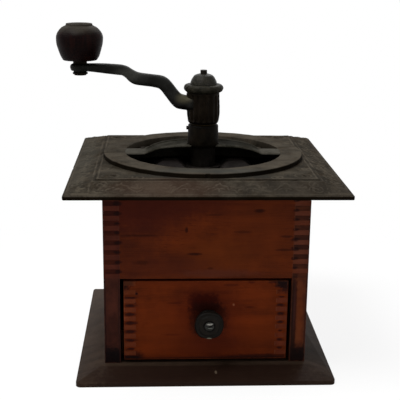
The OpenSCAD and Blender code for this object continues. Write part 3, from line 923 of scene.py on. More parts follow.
@dataclass(frozen=True)
class TurnedWood:
    """Dark varnished knob, rubbed grey on top, with streaks up its sides."""

    name: str
    body: Colour
    red: Colour
    grey: Colour
    top_z: float

    def make(self) -> bpy.types.Material:
        """Builds the material.

        Returns:
            The finished material.
        """
        shop = Shop(self.name)
        _, _, z = shop.axes()
        streak = shop.noise((0.35, 0.35, 0.06), 4, 0.6, 2.0)
        fine = shop.noise((2.4, 2.4, 0.25), 3, 0.6, 5.0)
        cloud = shop.noise(0.14, 4, 0.6, 9.0)
        ring = shop.noise((0.05, 0.05, 1.6), 2, 0.5, 4.0)
        tone = streak + (fine - 0.5) * 0.5 + (ring - 0.5) * 0.4
        colour = shop.blend(tone.step(0.4, 0.75), self.body, self.red)
        bare = (z - self.top_z + (cloud - 0.5) * 7 + (fine - 0.5) * 2).step(-8.0, -1.0)
        colour = shop.blend(bare * 0.9, colour, self.grey)
        chips = fine.step(0.62, 0.7) * cloud.step(0.5, 0.6)
        colour = shop.blend(chips * 0.4, colour, self.grey)
        rough = 0.4 + bare * 0.2 + (fine - 0.5) * 0.2
        height = 0.5 * fine + 0.4 * ring - chips * 0.4
        return shop.finish(colour, rough, height, 0.1, gloss=0.035)


# Case


@dataclass
class CaseWork:
    """Finger-jointed box on its bevelled base board."""

    edge: float = 0.35
    panel_z: float = 71.3
    pitch: float = 61.9 / 9

    def fingers(self, left: Colour, right: Colour, share: float) -> FingerEnds:
        """Finger joints of the front, with this board's own tints.

        Args:
            left: Tint of the ends on the left.
            right: Tint of the ends on the right.
            share: Strength of the tints.

        Returns:
            Finish of the joints.
        """
        first = self.panel_z + 0.75 * self.pitch
        return FingerEnds(
            59.0, self.pitch, self.panel_z + 0.6, 131.0, left, right, screen(22, 7, 6),
            60.2, first, self.panel_z + 0.07 * self.pitch, share, 2.2, 1.15, 0.8,
        )

    def front(self) -> StainedWood:
        """Finish of the front panel, darker and redder at its top left.

        Returns:
            The finish.
        """
        fleck = screen(29, 8, 3)
        # The last spot, a dark line along the top edge under the plate, is painted shade.
        spots = [
            (35.4, 119.4, 3.4, 1.3, 0.8), (-8, 89, 4.5, 0.9, 0.8), (-13.7, 106, 1.0, 1.8, 0.8),
            (24, 104.6, 6, 0.9, 0.5), (5, 116.6, 5.5, 0.8, 0.4), (-46, 102.2, 12, 0.7, 0.6),
            (-44, 83, 5, 1.5, 0.5), (2.4, 78.7, 2.0, 0.8, 0.5), (54, 101.2, 4, 0.9, 0.6),
            (53, 91.7, 6, 0.8, 0.6), (0, 131.6, 66, 1.6, 0.7),
        ]
        blots = (
            Blot(-44, 99, 15, 14, screen(50, 19, 11), 0.4, 0.7),
            Blot(-47, 120, 36, 15, screen(55, 17, 10), 0.8, 0.7),
            Blot(-12, 124, 36, 8, screen(58, 19, 9), 0.7, 0.7),
            Blot(8, 88, 22, 12, screen(90, 39, 9), 0.5, 0.7),
            Blot(40, 100, 24, 26, screen(81, 33, 9), 0.45, 0.7),
            Blot(-30, 80, 34, 7, screen(58, 22, 12), 0.6, 0.7),
            Blot(9, 75, 26, 2.6, screen(77, 37, 25), 0.6),
            *(Blot(x, z, wide, high, fleck, share) for x, z, wide, high, share in spots),
        )
        return StainedWood(
            "front panel wood", screen(92, 37, 11), screen(58, 21, 8), fleck,
            screen(85, 37, 18), Grain.ALONG_X, "front_panel", blots,
            self.fingers(screen(38, 12, 8), screen(84, 44, 31), 0.85), 1.0,
        )

    def sides(self) -> tuple[StainedWood, StainedWood]:
        """Finishes of both walls; on the front they show their narrow edges.

        Returns:
            Finishes of the left wall and the right one.
        """
        black = screen(9, 6, 7)
        left = StainedWood(
            "left side wood", screen(66, 32, 23), screen(40, 18, 13), screen(22, 9, 8),
            screen(84, 46, 36), Grain.ALONG_Y, "left_side",
            (
                Blot(-66, 10, 9, 11, black, 0.95, 0.35, 3.0),
                Blot(-69.6, 70, 0.9, 70, black, 0.7, 0.5, 4.0),
                # Painted shade of the drawer's gap.
                Blot(-59.3, 40, 0.9, 34, black, 0.6, 0.5, 4.0),
            ),
            self.fingers(screen(79, 34, 23), screen(38, 17, 14), 0.66), 5.0,
        )
        right = StainedWood(
            "right side wood", screen(86, 42, 22), screen(52, 24, 14), screen(30, 12, 8),
            screen(104, 56, 38), Grain.ALONG_Y, "right_side",
            (
                Blot(66, 12, 9, 9, black, 0.95, 0.35, 3.0),
                # Painted shade of the drawer's gap.
                Blot(60.7, 40, 2.1, 34, screen(15, 6, 5), 0.85, 0.3, 4.0),
                Blot(61.4, 50, 0.7, 17, screen(60, 30, 28), 0.5),
                Blot(65.2, 44, 2.2, 17, screen(100, 45, 15), 0.42, 0.8),
                Blot(69.6, 70, 0.8, 70, black, 0.7, 0.5, 4.0),
            ),
            self.fingers(screen(72, 32, 20), screen(36, 16, 12), 0.72), 9.0,
        )
        return left, right

    def rest(self) -> tuple[StainedWood, StainedWood, StainedWood]:
        """Finishes of back panel, base board and runners.

        Returns:
            The three finishes.
        """
        back = StainedWood(
            "back panel wood", screen(88, 38, 16), screen(56, 24, 12), screen(30, 11, 7),
            screen(92, 48, 30), Grain.ALONG_X, "back_panel", seed=13.0,
        )
        base = StainedWood(
            "base board wood", screen(54, 42, 33), screen(32, 23, 17), screen(18, 11, 8),
            screen(72, 56, 44), Grain.ALONG_X, "base_board",
            (
                # Painted shade: the broad dark band makes the front bevel darker than the side bevels.
                Blot(0, 6, 77, 6.8, screen(30, 18, 13), 0.85, 0.25, 6.0),
                Blot(4, 11, 74, 2.0, screen(56, 28, 23), 0.7, 0.4, 6.0),
                Blot(7.0, 6.0, 0.8, 0.5, screen(100, 88, 74), 0.7, 0.3),
            ),
            None, 17.0, front_y=-75.0,
        )
        runner = StainedWood(
            "runner wood", screen(96, 62, 38), screen(62, 38, 22), screen(36, 20, 12),
            screen(110, 76, 50), Grain.ALONG_Y, "left_runner", seed=21.0,
        )
        return back, base, runner

    def build(self, screw: bpy.types.Material) -> None:
        """Makes the boards with worn edges and dresses what is inside.

        Args:
            screw: Finish of the screws.
        """
        front, (left, right), (back, base, runner) = self.front(), self.sides(), self.rest()
        boards = [
            ("base_board", "base_board_worn", 0.9, base, "base_wood"),
            ("left_side", "left_wall", self.edge, left, "case_wood"),
            ("right_side", "right_wall", self.edge, right, "case_wood"),
            ("front_panel", "front_wall", self.edge, front, "case_wood"),
            ("back_panel", "back_wall", self.edge, back, "case_wood"),
        ]
        for node, name, width, wood, slot in boards:
            eased_copy(node, name, width, wood.make(), Body.CASE)
        raw = runner.make()
        for node in ("left_runner", "right_runner"):
            dress(node, raw)
        dress("base_screws", screw)


@dataclass
class DrawerBox:
    """Drawer with its iron pull."""

    edge: float = 0.5
    low: float = 11.5
    pitch: float = 58 / 9
    pull_x: float = 1.8
    pull_z: float = 41.3
    pull_r: float = 10.3
    reach: float = 13.0
    # Near black of the painted shade in the drawer's gaps, also used for small dark joint spots.
    black: Colour = field(default_factory=lambda: screen(12, 6, 7))

    def fingers(self, left: Colour, right: Colour, share: float) -> FingerEnds:
        """Finger joints of the drawer's front, with this board's own tints.

        Args:
            left: Tint of the ends on the left.
            right: Tint of the ends on the right.
            share: Strength of the tints.

        Returns:
            Finish of the joints.
        """
        first = self.low + 0.25 * self.pitch
        return FingerEnds(
            46.6, self.pitch, self.low + 3, 58.0, left, right, screen(30, 9, 7),
            52.0, first, first, share, 3.9, 1.15, narrow=1.6,
        )

    def front_wood(self) -> StainedWood:
        """Finish of the drawer front: dark patches round its pull, painted shade just above the pull and
        in the gaps along its edges, and darkened corners.

        Returns:
            The finish.
        """
        grime, streak = self.black, screen(52, 13, 3)
        streaks = [
            (29.9, 50.2, 3.0, 0.6, 0.8), (17, 66.5, 5, 1.0, 0.6), (31, 68.5, 2.4, 0.9, 0.7),
            (-24, 30, 6, 0.7, 0.5), (-22, 53.5, 5, 0.6, 0.6), (0, 61, 18, 1.6, 0.5),
        ]
        return StainedWood(
            "drawer front wood", screen(93, 35, 8), screen(61, 21, 5), screen(39, 10, 3),
            screen(116, 51, 15), Grain.ALONG_X, "drawer_front",
            (
                Blot(1.5, 41, 24, 23, screen(76, 21, 5), 0.5, 0.6),
                Blot(0.5, 22, 30, 11, screen(59, 18, 5), 0.6, 0.7),
                Blot(-30, 32, 20, 13, screen(95, 36, 6), 0.45, 0.7),
                Blot(36, 33, 16, 12, screen(95, 35, 5), 0.45, 0.7),
                Blot(-52, 49.5, 4.5, 0.8, screen(109, 28, 13), 0.8),
                *(Blot(x, z, wide, high, streak, share) for x, z, wide, high, share in streaks),
                # Dark patches over and round the pull; the narrow band just over it is painted shade of
                # the pull.
                Blot(-1.4, 53.6, 10.4, 6.6, screen(42, 6, 1), 0.95, 0.3, 4.0),
                Blot(1.6, 50.2, 8.6, 3.2, screen(34, 11, 6), 0.8, 0.5, 4.0),
                Blot(1.8, 41.3, 12.4, 12.4, screen(30, 7, 3), 0.8, 0.3, 3.0),
                # Near black along the right and bottom edges is painted shade of the drawer's gaps; the
                # top corners and lower left corner are darkened near black too.
                Blot(-53, 12, 10, 6.5, grime, 0.95, 0.35),
                Blot(-59, 71, 12, 12, grime, 0.95, 0.2, 1.0),
                Blot(58.6, 71, 17, 12, grime, 0.95, 0.2, 1.0),
                Blot(58.6, 40, 1.6, 34, grime, 0.8, 0.4, 4.0),
                Blot(40, 13, 24, 2.0, grime, 0.7, 0.5),
                Blot(0, 11.5, 60, 1.6, grime, 0.7, 0.5),
                Blot(-47.7, 60.5, 1.0, 0.8, grime, 0.9, 0.3),
                Blot(-48.8, 53.7, 1.0, 0.8, grime, 0.9, 0.3),
                Blot(19.1, 52.1, 0.7, 0.9, screen(150, 98, 70), 0.35, 0.4),
            ),
            self.fingers(screen(76, 28, 7), screen(76, 28, 7), 0.4), 29.0,
        )

    def side_wood(self) -> StainedWood:
        """Finish of the drawer's sides, whose pale finger ends show on the front.

        Returns:
            The finish.
        """
        grime = self.black
        return StainedWood(
            "drawer side wood", screen(91, 36, 14), screen(58, 21, 8), screen(32, 9, 5),
            screen(109, 55, 27), Grain.ALONG_Y, "drawer_right",
            (
                # Near black along the right edge is painted shade of the drawer's gap; the corners are
                # darkened near black as on the front.
                Blot(-53, 12, 10, 6.5, grime, 0.95, 0.35),
                Blot(58.6, 71, 17, 12, grime, 0.95, 0.2, 1.0),
                Blot(-59, 71, 12, 12, grime, 0.95, 0.2, 1.0),
                Blot(58.6, 40, 1.6, 34, grime, 0.8, 0.4, 4.0),
            ),
            self.fingers(screen(106, 46, 26), screen(86, 40, 26), 0.62), 37.0,
        )

    def pull(self) -> Shell:
        """Pull about the line through its screw, worn to a rounded square.

        The outline gives radius and reach; it is turned about an upright axis and then laid
        forward, so that (x, y, z) becomes (x, -z, y). The square is where the fourth powers of
        both distances add up to the fourth power of the radius, mixed in by about a quarter.

        Returns:
            The closed surface. Its marks are the darkened groove and the rubbed rim.
        """
        r, reach = self.pull_r, self.reach
        outline = eased(
            [
                (2.05, 0.05), (0.74 * r, 0.05), (0.72 * r, 1.4), (5.2, 2.6), (4.6, reach - 7.5),
                (0.7 * r, reach - 5.7), (0.95 * r, reach - 4.7), (r, reach - 3.2),
                (0.97 * r, reach - 1.8), (0.88 * r, reach - 0.9), (0.82 * r, reach - 1.3),
                (0.74 * r, reach - 1.25), (0.62 * r, reach - 0.1), (4.2, reach - 0.1),
                (3.35, reach - 0.9), (2.05, reach - 0.95),
            ],
            0.8,
        )

        def hammered(a: np.ndarray, r: np.ndarray, z: np.ndarray) -> np.ndarray:
            """Radius of the rounded square, with slight dents.

            The square's radius is r over the fourth root of cos^4 a + sin^4 a.

            Args:
                a: Angles.
                r: Radii.
                z: Heights.

            Returns:
                The new radii.
            """
            square = (np.cos(a) ** 4 + np.sin(a) ** 4) ** -0.25
            share = 0.27 * smooth_step(4.4, 7.5, r)
            shape = r * (1 + share * (square - 1) - 0.03 * smooth_step(4.4, 7.5, r))
            return shape + 0.07 * ripple(a * 6, z, 3.0, 4) * (r > 3.4)

        shell = turned(outline, 112, shape=hammered)
        x, y, z = shell.points.T
        shell.points = np.stack([x + self.pull_x, FRONT_Y - z, y + self.pull_z], -1)
        ring = smooth_step(0.9, 0.4, np.abs(np.hypot(x, y) - 0.78 * r)) * (z > reach - 2)
        edge = smooth_step(reach - 0.7, reach - 0.2, z) * smooth_step(4.0, 4.4, np.hypot(x, y))
        shell.marks = {"grime": ring * 0.9, "relief": edge * 0.6}
        return shell

    def build(self, screw: bpy.types.Material) -> None:
        """Makes the drawer's boards and pull and dresses its inside.

        Args:
            screw: Finish of the nut.
        """
        front, side = self.front_wood().make(), self.side_wood().make()
        raw = StainedWood(
            "drawer inside wood", screen(120, 78, 44), screen(84, 50, 26), screen(44, 24, 12),
            screen(130, 90, 56), Grain.ALONG_Y, "drawer_left", seed=33.0,
        ).make()
        eased_copy("drawer_front", "drawer_face", self.edge, front, Body.DRAWER)
        eased_copy("drawer_left", "drawer_wall_left", 0.35, side, Body.DRAWER)
        eased_copy("drawer_right", "drawer_wall_right", 0.35, side, Body.DRAWER)
        eased_copy("drawer_back", "drawer_wall_back", 0.35, raw, Body.DRAWER)
        dress("drawer_floor", raw)
        # The pale spot on the pull's lower rim and the screw head's glints are painted highlights.
        iron = OldIron(
            "pull iron", screen(4, 3, 2), screen(16, 11, 6), screen(10, 6, 2), 0.3,
            seed=41.0, cloud_rate=0.3, marked=True, gloss=0.08,
            blots=(Blot(self.pull_x, self.pull_z - 9.2, 1.4, 0.7, screen(132, 134, 116), 0.75),),
        ).make()
        make_piece("rounded_pull", [self.pull()], iron, Body.DRAWER, "drawer_pull")
        glints = (
            Blot(self.pull_x + 0.3, self.pull_z + 1.9, 2.0, 0.5, screen(160, 158, 150), 0.6, 0.4),
            Blot(self.pull_x, self.pull_z - 0.9, 2.8, 0.35, screen(84, 86, 80), 0.7, 0.3),
        )
        head = OldIron(
            "pull screw iron", screen(14, 13, 12), screen(44, 42, 38), screen(20, 15, 11), 0.4,
            seed=43.0, cloud_rate=0.25, gloss=0.12, roughness=0.35, blots=glints,
        ).make()
        dress("pull_screw", head)
        dress("pull_nut", screw)


# Top plate


@dataclass
class RingRows:
    """Rows of points between a square and a circle, one point in every direction.

    square_way holds the points of the square of half side 1 and circle_way those of the circle
    of radius 1, as complex numbers.
    """

    square_way: np.ndarray
    circle_way: np.ndarray
    spots: list[np.ndarray] = field(default_factory=list)
    heights: list[np.ndarray] = field(default_factory=list)
    relief: list[float] = field(default_factory=list)
    grime: list[float] = field(default_factory=list)

    def add(self, spots: np.ndarray, z: Lengths, relief: float = 0.0, grime: float = 0.0) -> None:
        """Adds one row.

        Args:
            spots: Its points as complex numbers.
            z: Their height.
            relief: Mark of the row that makes it lighter.
            grime: Mark of the row that makes it black.
        """
        self.spots.append(spots)
        self.heights.append(z + 0 * spots.real)
        self.relief.append(relief)
        self.grime.append(grime)

    def square(self, half: float, z: Lengths, relief: float = 0.0, grime: float = 0.0) -> None:
        """Adds the square of a half side."""
        self.add(self.square_way * half, z, relief, grime)

    def circle(self, radius: Lengths, z: Lengths, relief: float = 0.0, grime: float = 0.0) -> None:
        """Adds the circle of a radius."""
        self.add(self.circle_way * radius, z, relief, grime)

    def points(self) -> np.ndarray:
        """All points, shaped (rows, directions, 3)."""
        spots = np.array(self.spots)
        return np.stack([spots.real, spots.imag, np.array(self.heights)], -1)


@dataclass
class TopPlate:
    """Cast plate: sloping border with a worn traditional relief, flat middle, hopper ring."""

    half: float = 94.1
    border: float = 20.0
    rim_t: float = 2.5
    rise: float = 6.0
    corner_r: float = 2.5
    ring_r: float = 72.7
    mouth_r: float = 57.0
    pocket_z: float = 138.5
    pocket_half: float = 58.4
    relief_h: float = 0.5
    pitch: float = 21.4
    tip: float = -3.6
    band_v: float = 5.0
    band_wide: float = 10.5
    side_points: int = 372
    crack_h: float = 0.35
    seams: tuple[float, float] = (185.5, 11.5)
    directions: int = 1200
    screw_at: float = 64.5

    def zigzag(self, u: np.ndarray, v: np.ndarray) -> np.ndarray:
        """Band that runs to and fro from band_v across band_wide.

        Its middle line is a triangle wave of the given pitch with its tips at the outer side,
        and the distance to it is measured square to the line.

        Args:
            u: Distance along the side from its middle.
            v: Distance from the outer edge.

        Returns:
            Height as a share of the full relief.
        """
        wave = np.abs(((u - self.tip) / self.pitch + 0.5) % 1 - 0.5) * 2
        slope = 2 * self.band_wide / self.pitch
        far = np.abs(v - self.band_v - self.band_wide * wave) / math.hypot(1, slope)
        return ridge(far, 0.7)

    def leaves(self, u: np.ndarray, v: np.ndarray) -> np.ndarray:
        """Three-lobed leaves in the open side of every turn of the zigzag.

        A lobe is 1 minus the squared distance in an ellipse turned by the lobe's angle.

        Args:
            u: Distance along the side from its middle.
            v: Distance from the outer edge.

        Returns:
            Height as a share of the full relief.
        """
        out = np.zeros_like(u)
        for start, base, up in ((self.tip, 9.2, 1), (self.tip + self.pitch / 2, 10.8, -1)):
            x = ((u - start) / self.pitch + 0.5) % 1 * self.pitch - self.pitch / 2
            y = (v - base) * up
            for turn in (-0.95, 0.0, 0.95):
                a = x * math.cos(turn) - y * math.sin(turn)
                b = x * math.sin(turn) + y * math.cos(turn)
                lobe = np.clip(1 - (a / 0.95) ** 2 - ((b - 3.0) / 2.7) ** 2, 0, 1) ** 0.6
                out = np.maximum(out, lobe)
        return out * 0.9

    def scroll(self, u: np.ndarray, v: np.ndarray, x: float, y: float, hand: int) -> np.ndarray:
        """Spiral of two turns about (x, y): its line is at radius 0.7 + 0.5 times the angle.

        Args:
            u: Distance along the side from its middle.
            v: Distance from the outer edge.
            x: Place of its middle along u.
            y: Place of its middle along v.
            hand: 1 or -1, the way it turns.

        Returns:
            Height as a share of the full relief.
        """
        far, angle = np.hypot(u - x, v - y), np.arctan2(v - y, hand * (u - x)) % (2 * math.pi)
        gap = np.minimum(*(np.abs(far - 0.7 - 0.5 * (angle + 2 * math.pi * k)) for k in (0, 1)))
        return ridge(gap, 0.55) * smooth_step(5.6, 4.4, far)

    def rosette(self, u: np.ndarray, v: np.ndarray) -> np.ndarray:
        """Four petals in a square frame, round the middle of the border's corner.

        The petals reach to 4.6 times the root of |cos 2a|, and the frame is where the larger of
        both distances from the middle is 6.6.

        Args:
            u: Distance along the side from its middle.
            v: Distance from the outer edge.

        Returns:
            Height as a share of the full relief.
        """
        x, y = np.abs(u) - (self.half - 10), v - 10
        far, angle = np.hypot(x, y), np.arctan2(y, x)
        petals = smooth_step(0.8, -0.8, far - 4.6 * np.sqrt(np.abs(np.cos(2 * angle)) + 1e-6))
        return np.maximum(petals * 0.9, ridge(np.maximum(np.abs(x), np.abs(y)) - 6.6, 0.5))

    def border_relief(self, u: np.ndarray, v: np.ndarray, seed: int) -> np.ndarray:
        """All ornament of one side of the border, worn unevenly.

        Args:
            u: Distance along the side from its middle.
            v: Distance from the outer edge.
            seed: Seed of the wear.

        Returns:
            Height as a share of the full relief.
        """
        along = smooth_step(72, 69.5, np.abs(u))
        bent_u, bent_v = u + 0.9 * ripple(u, v, 8.0, seed + 2), v + 0.6 * ripple(u, v, 7.0, seed + 3)
        out = np.maximum(self.zigzag(bent_u, bent_v), self.leaves(bent_u, bent_v)) * along
        for hand in (-1, 1):
            out = np.maximum(out, self.scroll(u, v, hand * 70.5, 7.4, hand))
            out = np.maximum(out, self.scroll(u, v, hand * 70.0, 13.6, -hand) * 0.8)
        out = np.maximum(out, self.rosette(u, v))
        out = np.maximum(out, 0.8 * ridge(v - 2.2, 0.55))
        out = np.maximum(out, 0.8 * ridge(v - 18.0, 0.5))
        wear = 0.6 + 0.35 * ripple(u, v, 26.0, seed) + 0.55 * ripple(u, v, 5.0, seed + 1)
        return out * np.clip(wear, 0.05, 1)

    def border_shell(self) -> Shell:
        """Sloping frame of the plate, closed by its rim, underside and inner step.

        A point at share s along side k and distance v from the outer edge lies at
        (s (half - v), -(half - v)) turned by k quarter turns, at a height that climbs with v.

        Returns:
            The closed surface. Its marks are the raised relief and the darkening: painted shade with some
            soiling on its outer rim and painted shade in its inner crease.
        """
        count = self.side_points
        slope = np.linspace(1.2, 19.7, 44)
        v = np.concatenate([[0.9, 0.28, 0.04, 0.0, 0.06, 0.3, 0.7], slope, [19.93, 19.98, 19.98]])
        z = np.concatenate([
            PLATE_Z + np.array([0, 0.08, 0.4, 1.6, 2.2, 2.5, 2.68]),
            PLATE_Z + self.rim_t + self.rise / self.border * slope,
            PLATE_Z + np.array([self.rim_t + 5.9, self.rim_t + 5.6, 0]),
        ])
        s = np.linspace(-1, 1, count, endpoint=False)
        sides, marks, grime = [], [], []
        for k in range(4):
            u = s[None, :] * (self.half - v[:, None])
            vv = v[:, None] + 0 * u
            band = smooth_step(1.0, 1.6, vv) * smooth_step(19.6, 19.2, vv)
            carve = self.border_relief(u, vv, 11 + 7 * k) * band
            dent = 0.06 * ripple(u, vv, 11.0, 60 + k)
            on_top = smooth_step(0.6, 1.2, vv) * (z[:, None] > PLATE_Z + 2)
            height = z[:, None] + carve * self.relief_h + dent * on_top
            chip = 0.25 * np.clip(ripple(u, 0 * u, 17.0, 90 + k) - 0.9, 0, 1) * smooth_step(1.4, 0.0, vv)
            x, y = self.rounded(u, -(self.half - vv - chip))
            turn = (x + 1j * y) * 1j**k
            sides.append(np.stack([turn.real, turn.imag, height], -1))
            marks.append(carve)
            # Painted shade with some soiling near black on the outer rim, and painted shade in the crease
            # at the border's inner step.
            rim = smooth_step(0.9, 0.3, vv) * (z[:, None] < PLATE_Z + 2.3)
            crease = 0.3 * smooth_step(19.3, 19.75, vv)
            grime.append(np.maximum(rim, crease))
        points = np.concatenate(sides, 1)
        faces = grid_faces(len(v), 4 * count, True, True)
        values = {"relief": np.concatenate(marks, 1), "grime": np.concatenate(grime, 1)}
        return Shell(points.reshape(-1, 3), faces, {k: q.reshape(-1) for k, q in values.items()})

    def rounded(self, x: np.ndarray, y: np.ndarray) -> tuple[np.ndarray, np.ndarray]:
        """Pulls points beyond the plate's rounded corners back onto their arcs.

        Args:
            x: X of the points.
            y: Y of the points.

        Returns:
            The new X and Y.
        """
        inner = self.half - self.corner_r
        dx, dy = np.abs(x) - inner, np.abs(y) - inner
        far = np.hypot(dx, dy)
        beyond = (dx > 0) & (dy > 0) & (far > self.corner_r)
        pull = np.where(beyond, self.corner_r / np.maximum(far, 1e-9), 1)
        return np.sign(x) * (inner + dx * pull), np.sign(y) * (inner + dy * pull)

    def flat_relief(self, x: np.ndarray, y: np.ndarray) -> np.ndarray:
        """Scrolls and a leaf in each corner of the flat middle, mirrored in both axes.

        Args:
            x: X of the points.
            y: Y of the points.

        Returns:
            Height as a share of the full relief.
        """
        a, b = np.abs(x), np.abs(y)
        out = np.maximum(self.scroll(a, b, 69.0, 45.5, 1), self.scroll(b, a, 69.0, 45.5, 1))
        rim = ridge(np.maximum(a, b) - 72.6, 0.5) * 0.6
        far = np.hypot(a - self.screw_at, b - self.screw_at)
        out = np.maximum(np.maximum(out * 0.8, rim), ridge(far - 5.6, 0.45) * 0.6)
        return out * smooth_step(73.1, 74.2, np.hypot(x, y))

    def seam(self, way: np.ndarray, at: float) -> np.ndarray:
        """1 on a narrow line across the ring at an angle in degrees, 0 elsewhere."""
        far = np.abs(np.angle(way / np.exp(1j * math.radians(at)))) * self.ring_r
        return smooth_step(0.45, 0.15, far)

    def middle_shell(self) -> Shell:
        """Flat middle, ring, mouth and underside, closed on itself.

        Every column is one direction a. Its points run from the square edge in to the ring,
        over the ring, down the mouth and back out under the plate. Between square and circle
        they are mixed in equal steps.

        Returns:
            The closed surface. Its marks are the rubbed places, with painted light on the mouth's left
            wall, and the darkening: painted shade with some soiling on the ring's upright wall, in the
            step down from the border and low in the mouth, painted shade on the mouth's right wall, and
            the dark seams.
        """
        count = self.directions
        s = np.arange(count) / count * 8 % 2 - 1
        side = np.arange(count) // (count // 4)
        edge = self.half - self.border - 0.03
        spot = (s * edge - 1j * edge) * 1j**side
        way = spot / np.abs(spot)
        notch = 1.25 * smooth_step(1.9, 1.0, np.abs(way.real) * self.ring_r)
        nick = np.where((np.abs(spot.real) < 3) & (spot.imag < 0), notch, 0)
        crack = self.crack_h * np.maximum(*(self.seam(way, at) for at in self.seams))
        rows = RingRows(spot / edge, way)
        rows.square(edge - 0.01, PLATE_Z)
        # Darkening marks of the rows: painted shade with some soiling in the step down from the border,
        # on the ring's upright wall and foot, along the ring's top edge and low in the mouth.
        rows.square(edge - 0.01, FLAT_Z - 0.3, grime=0.35)
        rows.square(edge - 0.12, FLAT_Z - 0.06, grime=0.15)
        for t in np.linspace(0, 1, 36):
            foot = way * (self.ring_r + 0.25 - nick)
            rows.add(spot * (edge - 0.4) / edge * (1 - t) + foot * t, FLAT_Z)
        rows.circle(self.ring_r - nick, FLAT_Z + 0.25, grime=0.9)
        rows.circle(self.ring_r - nick, RING_Z - 0.65, grime=1.0)
        rows.circle(self.ring_r - 0.2 - nick, RING_Z - 0.2, 0.3, 0.5)
        rows.circle(self.ring_r - 0.65 - nick, RING_Z - crack, 0.42)
        for t in np.linspace(0, 1, 12)[1:]:
            rows.circle((self.ring_r - 0.65) * (1 - t) + (self.mouth_r + 0.5) * t, RING_Z - crack, 0.3)
        rows.circle(self.mouth_r + 0.15, RING_Z - 0.12 - crack, 0.3)
        rows.circle(self.mouth_r, RING_Z - 0.45, 0.3)
        rows.circle(self.mouth_r, RING_Z - 3.5, 0.3)
        rows.circle(self.mouth_r, self.pocket_z, grime=0.7)
        rows.square(self.pocket_half, self.pocket_z)
        rows.square(self.pocket_half, PLATE_Z)
        points = rows.points()
        x, y, z = points[..., 0], points[..., 1], points[..., 2]
        top = smooth_step(FLAT_Z - 0.1, FLAT_Z - 0.02, z)
        carve = self.flat_relief(x, y) * top * (z < FLAT_Z + 0.05)
        wear = np.clip(0.7 + 0.35 * ripple(x, y, 23.0, 5), 0.25, 1)
        bump = 0.05 * ripple(x, y, 13.0, 8) * top
        points[..., 2] = z + carve * wear * self.relief_h * 0.8 + bump
        lines = crack / self.crack_h * (z > FLAT_Z + 0.5)
        wall = (np.hypot(x, y) < self.mouth_r + 0.1) & (z > self.pocket_z + 0.1)
        # Painted light on the mouth's left wall and painted shade on its right wall, against the key
        # lamp's light there; the seams' darkening is their own.
        worn = np.array(rows.relief)[:, None] + 0.9 * wall * smooth_step(-38, -50, x)
        relief = np.clip(1.5 * carve * wear + worn, 0, 1)
        dirt_and_shade = np.maximum(lines * 0.85, 0.6 * wall * smooth_step(38, 50, x))
        grime = np.maximum(np.array(rows.grime)[:, None], dirt_and_shade)
        values = {"relief": relief.reshape(-1), "grime": grime.reshape(-1)}
        return Shell(points.reshape(-1, 3), grid_faces(len(rows.spots), count, True, True), values)

    def screw_head(self, x: float, y: float, turn: float) -> Shell:
        """Slotted lens head and shank of one plate screw.

        The head's top is a low dome, cut down by 0.75 mm within half a millimetre of the slot's
        line.

        Args:
            x: X of its middle.
            y: Y of its middle.
            turn: Angle of the slot in radians.

        Returns:
            The closed surface.
        """
        r = np.concatenate([np.linspace(0.02, 4.0, 14), [4.12, 4.0, 2.0, 2.0, 0.02]])
        z = np.concatenate([
            FLAT_Z + 0.42 - 0.3 * np.linspace(0, 1, 14) ** 2,
            [FLAT_Z - 0.1, FLAT_Z - 0.3, FLAT_Z - 2.4, FLAT_Z - 24, FLAT_Z - 24],
        ])
        shell = turned(np.stack([r, z], -1), 72)
        line = shell.points[:, 0] * math.sin(turn) + shell.points[:, 1] * math.cos(turn)
        cut = (shell.points[:, 2] > FLAT_Z - 0.05) & (np.abs(line) < 0.5)
        shell.points[:, 2] -= 0.75 * cut
        shell.points[:, :2] += (x, y)
        return shell

    def build(self) -> None:
        """Makes the plate, in two pieces that meet at the line round its flat middle, and screws."""
        tints = (
            Blot(0, -64, 36, 7, screen(60, 61, 58), 0.5, 0.6, flat=True),
            Blot(-26, -84, 34, 12, screen(62, 45, 36), 0.45, 0.6, flat=True),
            Blot(62, -84, 40, 12, screen(38, 33, 28), 0.5, 0.6, flat=True),
            Blot(-88, 10, 8, 80, screen(66, 64, 58), 0.35, 0.6, flat=True),
        )
        iron = OldIron(
            "plate iron", screen(31, 28, 23), screen(69, 63, 54), screen(54, 43, 33), 0.25,
            gloss=0.0, depth=0.16, seed=3.0, marked=True, blots=tints,
            black=(0.0026, 0.0014, 0.0003),
        ).make()
        make_piece("plate_border", [self.border_shell()], iron, Body.CASE, "top_plate")
        make_piece("plate_middle", [self.middle_shell()], iron, Body.CASE, "top_plate")
        turns = ((-1, -1, 0.4), (1, -1, 1.2), (-1, 1, 2.3), (1, 1, 0.1))
        heads = [self.screw_head(x * self.screw_at, y * self.screw_at, turn) for x, y, turn in turns]
        dull = OldIron(
            "plate screw iron", screen(28, 25, 20), screen(60, 54, 46), screen(46, 36, 27), 0.3,
            gloss=0.0, depth=0.16, seed=7.0, cloud_rate=0.3,
        ).make()
        make_piece("plate_screw_heads", heads, dull, Body.CASE, "plate_screws")


# Hopper, cover and mill


